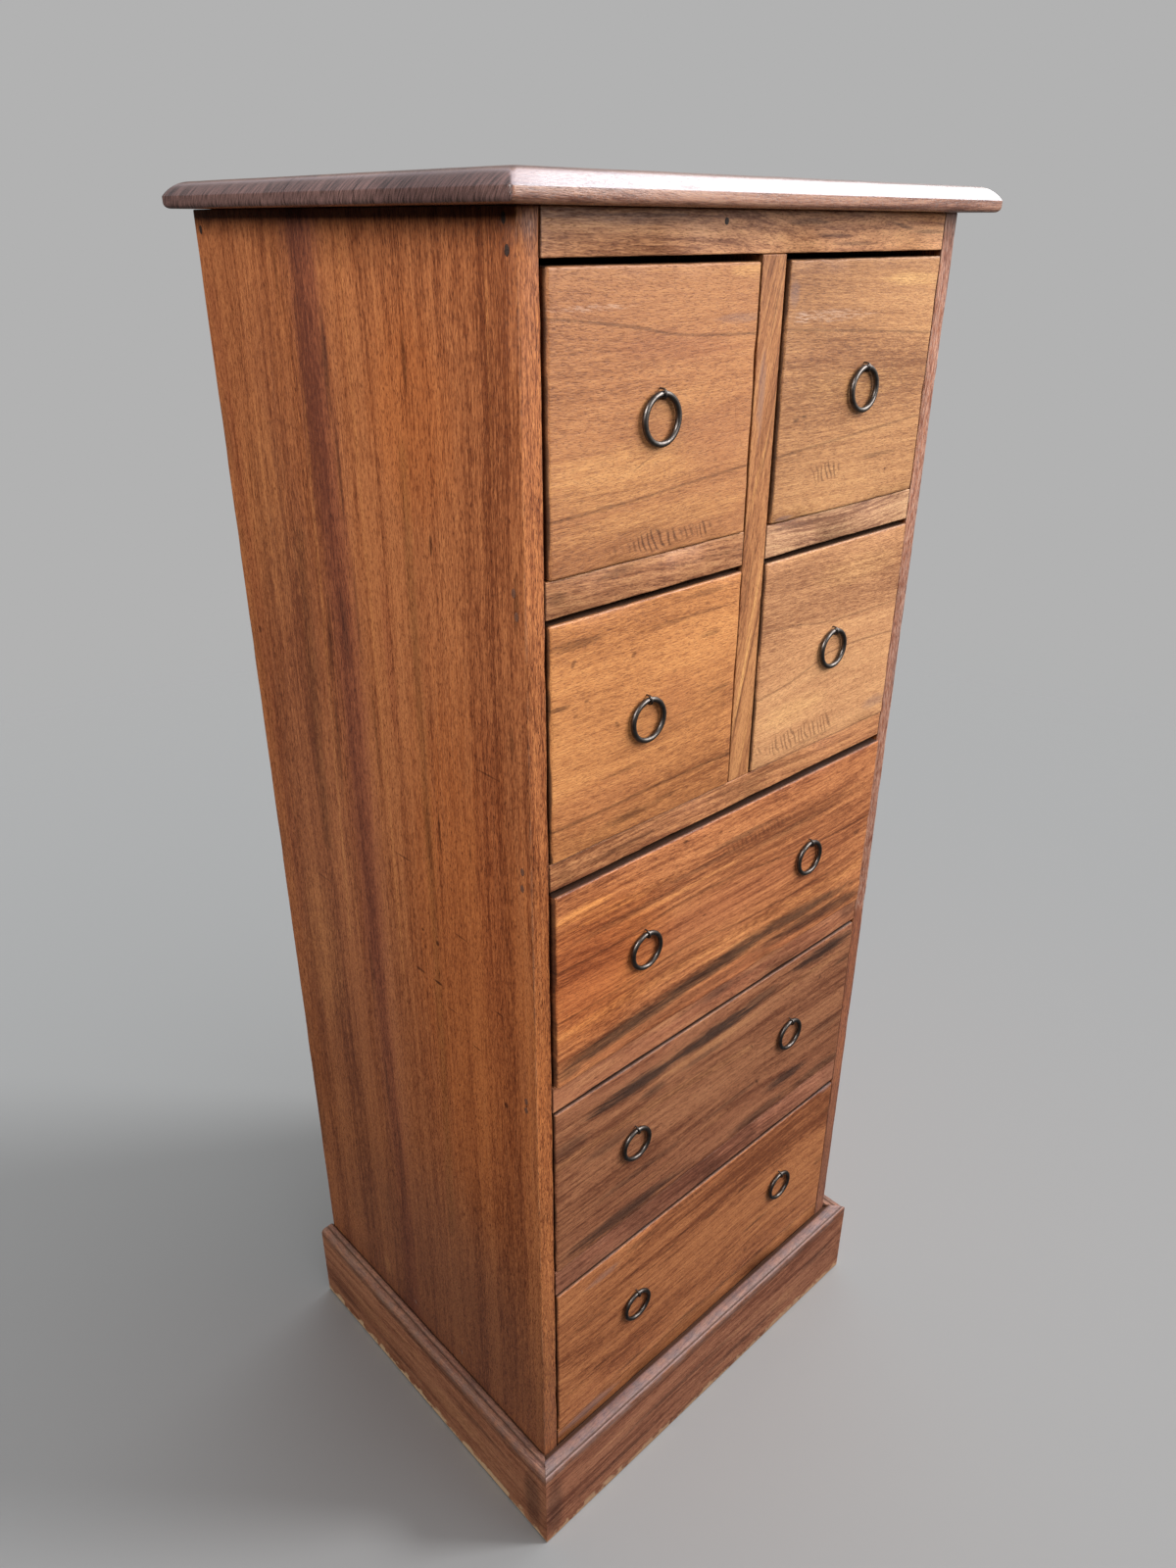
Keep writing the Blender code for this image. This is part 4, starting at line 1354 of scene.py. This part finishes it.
PLINTH_SEAT = 0.0003  # clearance to the carcass
PLINTH_GROOVE = 0.0012  # half width of the quirk along the top edge
PLINTH_EASE = 0.0003  # drop of the edges beside the ledge
PLINTH_FOOT = 0.002  # radius of the foot's edge
PLINTH_LIP = 0.0010  # from the packed dirt to the level ledge
PLINTH_INNER_HOLD = 0.012  # distance below the top edge, keeps the inner face straight
PLINTH_OUTER_HOLDS = (0.045, 0.003)  # heights, keep the outer face straight
PLINTH_STATIONS = 44  # along each board
PLINTH_PATCHES = 55.0
LEDGE_START, LEDGE_FULL = 0.010, 0.006  # distance below the top edge
NICK_DEPTH = 0.0005
NICK_SCALE = 60.0
NICK_REACH = 0.006  # distance below the top edge
NICK_START = Vector((3.3, 7.7, 1.1))
PACKED_DIRT_AND_SHADE = tone(0.060, 0.028, 0.017)
RUBBED_AND_HIGHLIT_NOSE = tone(0.27, 0.16, 0.135)
# bluish grey over the ledge: a painted sheen of the sky
LEDGE_SKY_SHEEN = tone(0.53, 0.68, 0.83)
RAW_WOOD = tone(0.72, 0.47, 0.27)

# A skirt board's top edge: width and depth of the dirt packed against the carcass, distance of the
# quirk from the carcass, radius of the nose, dust and painted sheen on the ledge, wear and painted
# highlight of the nose, raw wood along its foot
Skirt = namedtuple("Skirt", "fill drop quirk nose dust wear raw")
FRONT_SKIRT = Skirt(0.0062, 0.0042, 0.0182, 0.0028, 0.42, 0.55, 0.40)
SIDE_SKIRT = Skirt(0.0025, 0.0018, 0.0085, 0.0055, 0.16, 0.22, 0.90)


def plinth_section(skirt, thickness, height):
    """Outline of the skirt: distance from the carcass and height, from the inner foot round."""
    fill, drop, quirk, nose, groove = skirt.fill, skirt.drop, skirt.quirk, skirt.nose, PLINTH_GROOVE
    points = [
        (PLINTH_SEAT, 0.0),
        (PLINTH_SEAT, height - PLINTH_INNER_HOLD),
        (PLINTH_SEAT, height - drop),
        (0.35 * fill, height - 0.85 * drop),
        (0.75 * fill, height - 0.35 * drop),
        (fill, height - PLINTH_EASE),
        (fill + PLINTH_LIP, height),
        (quirk - groove, height),
        (quirk - 0.2 * groove, height - 0.7 * groove),
        (quirk + 0.2 * groove, height - 0.7 * groove),
        (quirk + groove, height - 0.1 * groove),
    ]
    points += quarter((thickness - nose, height - PLINTH_EASE - nose), nose, 88, 0, 7)
    points += [(thickness, up) for up in PLINTH_OUTER_HOLDS]
    points += quarter((thickness - PLINTH_FOOT, PLINTH_FOOT), PLINTH_FOOT, 0, -90, 3)
    return points


def plinth_wood(node, order, middle, seed, skirt, out_axis, thickness, height):
    """Skirt wood with a dusty ledge under a painted sky sheen, packed dirt and painted shade in the corner
    and the quirk, a rubbed nose with a painted highlight and a raw foot.

    out_axis is the letter of the axis that leads away from the carcass, its sign and where it starts.
    """
    wood = Polish(f"{node}_wood", order, middle, seed, STRIPED)
    bench = wood.bench
    letter, sign, start = out_axis
    axes = bench.split(wood.place)
    out = bench.maths("MULTIPLY", bench.maths("SUBTRACT", axes[letter], start), sign)
    up = axes["Z"]
    patchy = bench.noise(wood.place, PLINTH_PATCHES, detail=3.0, roughness=0.65)
    wood.draw(PLINTH_MARKS.get(node, {}))
    wood.dust(skirt.dust)
    ledge = bench.ease(up, height - LEDGE_START, height - LEDGE_FULL)
    # painted sky sheen over the ledge
    sky_sheen = bench.maths("MULTIPLY", ledge, bench.ease(patchy, 0.30, 0.70, 0.4, 1.0))
    wood.layer(sky_sheen, LEDGE_SKY_SHEEN, "MULTIPLY")
    # rubbed wood with a painted highlight on the rounded nose
    round_edge = bench.ease(out, thickness - skirt.nose, thickness - 0.4 * skirt.nose)
    worn = bench.ease(patchy, 0.38, 0.62, 0.0, skirt.wear)
    rubbed = bench.maths("MULTIPLY", bench.maths("MULTIPLY", ledge, round_edge), worn)
    wood.layer(rubbed, RUBBED_AND_HIGHLIT_NOSE)
    # packed dirt and painted shade in the quirk and in the corner against the carcass
    from_quirk = bench.maths("ABSOLUTE", bench.maths("SUBTRACT", out, skirt.quirk))
    line = bench.maths("MULTIPLY", ledge, bench.ease(from_quirk, 0.0016, 0.0004, 0.0, 0.75))
    packed = bench.ease(out, 1.3 * skirt.fill, 0.6 * skirt.fill, 0.0, 0.95)
    corner = bench.maths("MULTIPLY", ledge, packed)
    wood.layer(bench.maths("MAXIMUM", line, corner), PACKED_DIRT_AND_SHADE)
    reach = bench.ease(patchy, 0.38, 0.62, 0.003, 0.015)
    wood.layer(bench.ease(up, reach, bench.maths("MULTIPLY", reach, 0.6), 0.0, skirt.raw), RAW_WOOD)
    return wood.finish()


PLINTH_MARKS = {
    "plinth_left": {
        "gold": [Mark(-60, 45, 70, 14, 0.26), Mark(110, 50, 60, 16, 0.30), Mark(30, 70, 50, 8, 0.22)],
        "smoke": [
            Mark(0, 97, 260, 6, 0.50),
            Mark(-190, 50, 16, 60, 0.46),
            Mark(60, 28, 90, 4, 0.36),
            Mark(-100, 70, 60, 6, 0.34),
            Mark(170, 30, 40, 8, 0.36),
        ],
    },
    "plinth_front": {
        "gold": [Mark(140, 38, 40, 12, 0.30), Mark(60, 60, 60, 5, 0.26), Mark(-150, 72, 60, 5, 0.24)],
        "smoke": [
            Mark(0, 97, 300, 5, 0.44),
            Mark(-245, 50, 14, 60, 0.44),
            Mark(-60, 60, 120, 5, 0.40),
            Mark(-150, 30, 80, 5, 0.36),
            Mark(60, 30, 90, 6, 0.40),
            Mark(200, 60, 40, 8, 0.34),
            Mark(0, 6, 300, 6, 0.40),
        ],
    },
}


def dress_plinth():
    """Skirt boards with a grooved and rounded top edge, mitred at the front."""
    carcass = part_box("left_side")
    front_low, front_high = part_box("plinth_front")
    face_y, back_y = carcass[0].y, carcass[1].y
    half = -carcass[0].x
    front_thick = face_y - front_low.y
    side_thick = -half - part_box("plinth_left")[0].x
    height = front_high.z
    shares = [station / PLINTH_STATIONS for station in range(PLINTH_STATIONS + 1)]

    def across_front(share, out, up):
        reach = half + out * side_thick / front_thick
        return Vector(((share * 2 - 1) * reach, face_y - out, up))

    def along_side(sign, share, out, up):
        start = face_y - out * front_thick / side_thick
        return Vector((sign * (half + out), start + (back_y - start) * share, up))

    section = plinth_section(FRONT_SKIRT, front_thick, height)
    loops = [[across_front(share, *point) for point in section] for share in shares]
    wood = plinth_wood(
        "plinth_front",
        ACROSS_FRONT,
        PLINTH_FRONT_BROWN,
        44.0,
        FRONT_SKIRT,
        ("Y", -1.0, face_y),
        front_thick,
        height,
    )
    show_skirt("plinth_front", loops, wood)
    section = plinth_section(SIDE_SKIRT, side_thick, height)
    for node, sign, seed in (("plinth_left", -1, 46.0), ("plinth_right", 1, 48.5)):
        loops = [[along_side(sign, share, *point) for point in section] for share in shares]
        out_axis = ("X", float(sign), sign * half)
        wood = plinth_wood(
            node, ALONG_SIDE, PLINTH_SIDE_BROWN, seed, SIDE_SKIRT, out_axis, side_thick, height
        )
        show_skirt(node, loops, wood)


def show_skirt(node, loops, wood):
    shape = skin(loops)
    nick(shape, *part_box(node))
    show(f"{node}_moulded", shape, [wood], "carcass", [node])


def nick(shape, low, high):
    """Small dents in the ends of a skirt board and along its top edge."""
    middle = (low + high) / 2
    for vertex in shape.verts:
        loss = NICK_DEPTH * max(0.0, noise.noise(vertex.co * NICK_SCALE + NICK_START))
        away = vertex.co - middle
        vertex.co.x -= math.copysign(loss, away.x) if abs(away.x) > abs(away.y) else 0.0
        vertex.co.z -= loss if vertex.co.z > high.z - NICK_REACH else 0.0


RING_STEPS = 72
WIRE_SIDES = 16
EYE_BEND = 0.002  # radius of the staple's bends
EYE_STEPS = 18
RING_FIT = 0.99  # share of the CAD wire's radius, which leaves room for the unevenness
RING_UNEVEN = 0.00006
RING_UNEVEN_SCALE = 160.0


def headings(path):
    """Way from each point of a path to the next."""
    return [b - a for a, b in zip(path, path[1:])] + [path[-1] - path[-2]]


def wire_loops(path, normals, radius):
    """Loops of points round a path that lies in a plane; normals point out of the path, in that plane."""
    loops = []
    for place, normal, direction in zip(path, normals, headings(path)):
        side = direction.cross(normal).normalized()
        loop = []
        for step in range(WIRE_SIDES):
            angle = math.tau * step / WIRE_SIDES
            loop.append(place + radius * (normal * math.cos(angle) + side * math.sin(angle)))
        loops.append(loop)
    return loops


def dress_pulls():
    """Iron rings, a little uneven, in bent wire eyes."""
    iron = ring_iron()
    members = frame["record"]["behaviour"]["bodies"]
    for joint in frame["joints"]:
        if joint["type"] != "hinge":
            continue
        body = joint["child"]
        node = members[body][0]
        pivot = Vector(joint["pos_m"])
        low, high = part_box(node)
        wire = (high.y - low.y) / 2
        radius = (high.x - low.x) / 2 - wire
        path, normals = [], []
        for step in range(RING_STEPS):
            angle = math.tau * step / RING_STEPS
            out = Vector((math.sin(angle), 0.0, math.cos(angle)))
            normals.append(out)
            path.append(pivot + out * radius - Vector((0.0, 0.0, radius)))
        shape = skin(wire_loops(path, normals, wire * RING_FIT), closed=True)
        for vertex in shape.verts:
            away = vertex.co - pivot
            uneven = noise.noise(vertex.co * RING_UNEVEN_SCALE)
            vertex.co += away.normalized() * RING_UNEVEN * uneven
        show(node.replace("ring", "iron_ring"), shape, [iron], body, [node])
        dress_eye(node.replace("ring", "eye"), pivot, joint["parent"], iron)


def dress_eye(node, pivot, body, iron):
    """Wire staple round the ring, its two legs turned up and down behind the drawer front."""
    low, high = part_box(node)
    wire = (high.x - low.x) / 2
    arch = pivot.y - low.y - wire
    leg = high.y - wire
    bend = EYE_BEND
    flat = [(leg, high.z)]
    flat += quarter((leg - bend, pivot.z + arch + bend), bend, 0, -90)
    flat += quarter((pivot.y, pivot.z), arch, 90, 270, EYE_STEPS)
    flat += quarter((leg - bend, pivot.z - arch - bend), bend, 90, 0)
    flat.append((leg, low.z))
    path = [Vector((pivot.x, y, z)) for y, z in flat]
    normals = [Vector((0.0, step.z, -step.y)).normalized() for step in headings(path)]
    shape = skin(wire_loops(path, normals, wire))
    show(node.replace("eye", "wire_eye"), shape, [iron], body, [node])


SIDE_NAILS = [  # distance from the front, height, and whether the hole is filled over
    (0.0120, 1.2430, False),
    (0.0095, 1.2260, False),
    (0.3970, 1.2350, False),
    (0.0095, 1.0030, True),
    (0.0120, 1.0190, True),
    (0.0106, 0.8020, True),
    (0.0112, 0.7870, True),
    (0.0137, 0.5730, True),
    (0.0140, 0.5630, True),
]
NAIL_RUST = (tone(0.012, 0.008, 0.007), tone(0.060, 0.028, 0.018))
NAIL_FILLER = (tone(0.090, 0.034, 0.018), tone(0.190, 0.075, 0.040))
NAIL_RADIUS = 0.0021
NAIL_SIDES = 14
NAIL_PATCHES = 900.0
# Share of the radius and height over the face, from the rim to the middle
NAIL_PROFILE = ((1.0, -0.0004), (1.0, 0.00008), (0.8, 0.00018), (0.4, 0.00024), (0.08, 0.00025))
SIDE_NAIL_STRETCH, RAIL_NAIL_STRETCH = 1.6, 1.1  # height of a head to its width
RAIL_NAIL = (-0.055, 1.242)  # across and up


def nail_head(place, out, up, stretch):
    """Loops of a low domed nail head that lies on a face; out points away from the face."""
    side = out.cross(up)
    loops = []
    for share, lift in NAIL_PROFILE:
        loop = []
        for step in range(NAIL_SIDES):
            angle = math.tau * step / NAIL_SIDES
            around = side * math.cos(angle) + up * math.sin(angle) * stretch
            loop.append(place + around * NAIL_RADIUS * share + out * lift)
        loops.append(loop)
    return loops


def nail_skin(name, deep, light):
    """Rough skin of a nail head or of the filler over it."""
    material, bench, shader = new_material(name)
    patchy = bench.noise(bench.here(), NAIL_PATCHES, detail=3.0)
    bench.feed(shader.inputs["Base Color"], bench.ramp(patchy, ((0.3, deep), (0.7, light))))
    bench.feed(shader.inputs["Roughness"], bench.ease(patchy, 0.3, 0.7, 0.55, 0.8))
    return material


def dress_nails():
    """Nail heads and filled nail holes at the rails' ends, on both sides, and one in the top rail."""
    rust = nail_skin("nail_rust", *NAIL_RUST)
    filler = nail_skin("nail_filler", *NAIL_FILLER)
    up = Vector((0.0, 0.0, 1.0))
    for node, sign in (("left_side", -1), ("right_side", 1)):
        low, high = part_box(node)
        face = low.x if sign < 0 else high.x
        for number, (back, height, filled) in enumerate(SIDE_NAILS, start=1):
            place = Vector((face, low.y + back, height))
            shape = skin(nail_head(place, Vector((sign, 0.0, 0.0)), up, SIDE_NAIL_STRETCH))
            material = filler if filled else rust
            show(f"{node}_nail_{number}", shape, [material], "carcass")
    across, height = RAIL_NAIL
    place = Vector((across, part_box("top_rail")[0].y, height))
    shape = skin(nail_head(place, Vector((0.0, -1.0, 0.0)), up, RAIL_NAIL_STRETCH))
    show("top_rail_nail", shape, [rust], "carcass")


FLOOR_RADIUS = 3.4
FLOOR_SIDES = 96
FLOOR_ROUGHNESS = 0.9
FLOOR_FADE = (3.2, 1.3)  # distance at which it is gone, and at which it is whole
FLOOR_PAINT = tone(0.605, 0.616, 0.622)
FLOOR_BOUNCE = tone(0.12, 0.12, 0.12)  # what the floor throws back onto the chest


def set_floor():
    """Plain pale floor that fades into the backdrop."""
    shape = bmesh.new()
    bmesh.ops.create_circle(shape, cap_ends=True, segments=FLOOR_SIDES, radius=FLOOR_RADIUS)
    mesh = bpy.data.meshes.new("studio_floor")
    shape.to_mesh(mesh)
    shape.free()
    floor = bpy.data.objects.new("studio_floor", mesh)
    bpy.context.scene.collection.objects.link(floor)
    material, bench, shader = new_material("floor_paint")
    bench.feed(shader.inputs["Base Color"], bench.blend(bench.seen(), FLOOR_BOUNCE, FLOOR_PAINT))
    shader.inputs["Roughness"].default_value = FLOOR_ROUGHNESS
    shader.inputs["Specular IOR Level"].default_value = 0.0
    away = bench.vector("LENGTH", bench.here())
    bench.feed(shader.inputs["Alpha"], bench.ease(away, *FLOOR_FADE))
    mesh.materials.append(material)
    return floor


# Light of the sky from straight down to straight up
SKY_STOPS = (
    (0.30, tone(0.20, 0.20, 0.20)),
    (0.55, tone(0.58, 0.58, 0.58)),
    (1.0, tone(1.5, 1.5, 1.5)),
)


def set_world():
    """Plain grey backdrop for the camera and a soft sky for the light."""
    world = bpy.data.worlds.new("studio")
    bpy.context.scene.world = world
    world.use_nodes = True
    bench = Bench(world.node_tree)
    nodes = world.node_tree.nodes
    direction = bench.add("ShaderNodeTexCoord").outputs["Generated"]
    sky = bench.ramp(bench.ease(bench.split(direction)["Z"], -1.0, 1.0), SKY_STOPS)
    lean = bench.vector("DOT_PRODUCT", direction, SKY_BRIGHT_SIDE)
    share = bench.maths("MULTIPLY_ADD", lean, SKY_TILT, SKY_EVEN)
    strength = bench.maths("MULTIPLY", bench.maths("POWER", share, SKY_FALL), SKY_STRENGTH)
    backdrop = nodes["Background"]
    backdrop.inputs["Color"].default_value = tone(BACKDROP_GREY, BACKDROP_GREY, BACKDROP_GREY)
    light = bench.add("ShaderNodeBackground", {"Color": sky, "Strength": strength})
    mixed = bench.add("ShaderNodeMixShader", {"Fac": bench.seen()})
    bench.feed(mixed.inputs[1], light.outputs[0])
    bench.feed(mixed.inputs[2], backdrop.outputs[0])
    bench.feed(nodes["World Output"].inputs["Surface"], mixed.outputs[0])


def aim(thing, direction):
    thing.rotation_mode = "QUATERNION"
    thing.rotation_quaternion = direction.to_track_quat("-Z", "Y")


def add_light(name, kind, place, direction, **settings):
    lamp = bpy.data.lights.new(name, kind)
    for key, value in settings.items():
        setattr(lamp, key, value)
    thing = bpy.data.objects.new(name, lamp)
    bpy.context.scene.collection.objects.link(thing)
    thing.location = place
    thing.visible_camera = False
    aim(thing, direction)
    return thing


def set_lights(floor):
    """Soft sun for the floor's shadow and three softboxes that leave the floor alone."""
    settings = {"energy": SUN_STRENGTH, "angle": math.radians(SUN_SPREAD)}
    add_light("key_sun", "SUN", SUN_FROM * SUN_DISTANCE, -SUN_FROM, **settings)
    receivers = bpy.data.collections.new("not_the_floor")
    receivers.objects.link(floor)
    receivers.collection_objects[0].light_linking.link_state = "EXCLUDE"
    for name, place, target, size, energy in SOFTBOXES:
        place, target = Vector(place), Vector(target)
        settings = {"energy": energy, "shape": "RECTANGLE", "size": size[0], "size_y": size[1]}
        box = add_light(name, "AREA", place, target - place, **settings)
        box.light_linking.receiver_collection = receivers


def set_camera():
    lens = bpy.data.cameras.new("camera")
    lens.lens = CAMERA_LENS
    lens.sensor_width = CAMERA_SENSOR
    camera = bpy.data.objects.new("camera", lens)
    bpy.context.scene.collection.objects.link(camera)
    camera.location = CAMERA_PLACE
    aim(camera, CAMERA_AIM)
    roll = Quaternion((0.0, 0.0, 1.0), math.radians(CAMERA_ROLL))
    camera.rotation_quaternion = camera.rotation_quaternion @ roll
    bpy.context.scene.camera = camera
    bpy.context.scene.view_settings.view_transform = "Standard"


dress_fronts()
dress_carcass_boards()
dress_inside()
dress_boxes()
dress_top()
dress_plinth()
dress_pulls()
dress_nails()
studio_floor = set_floor()
set_world()
set_lights(studio_floor)
set_camera()
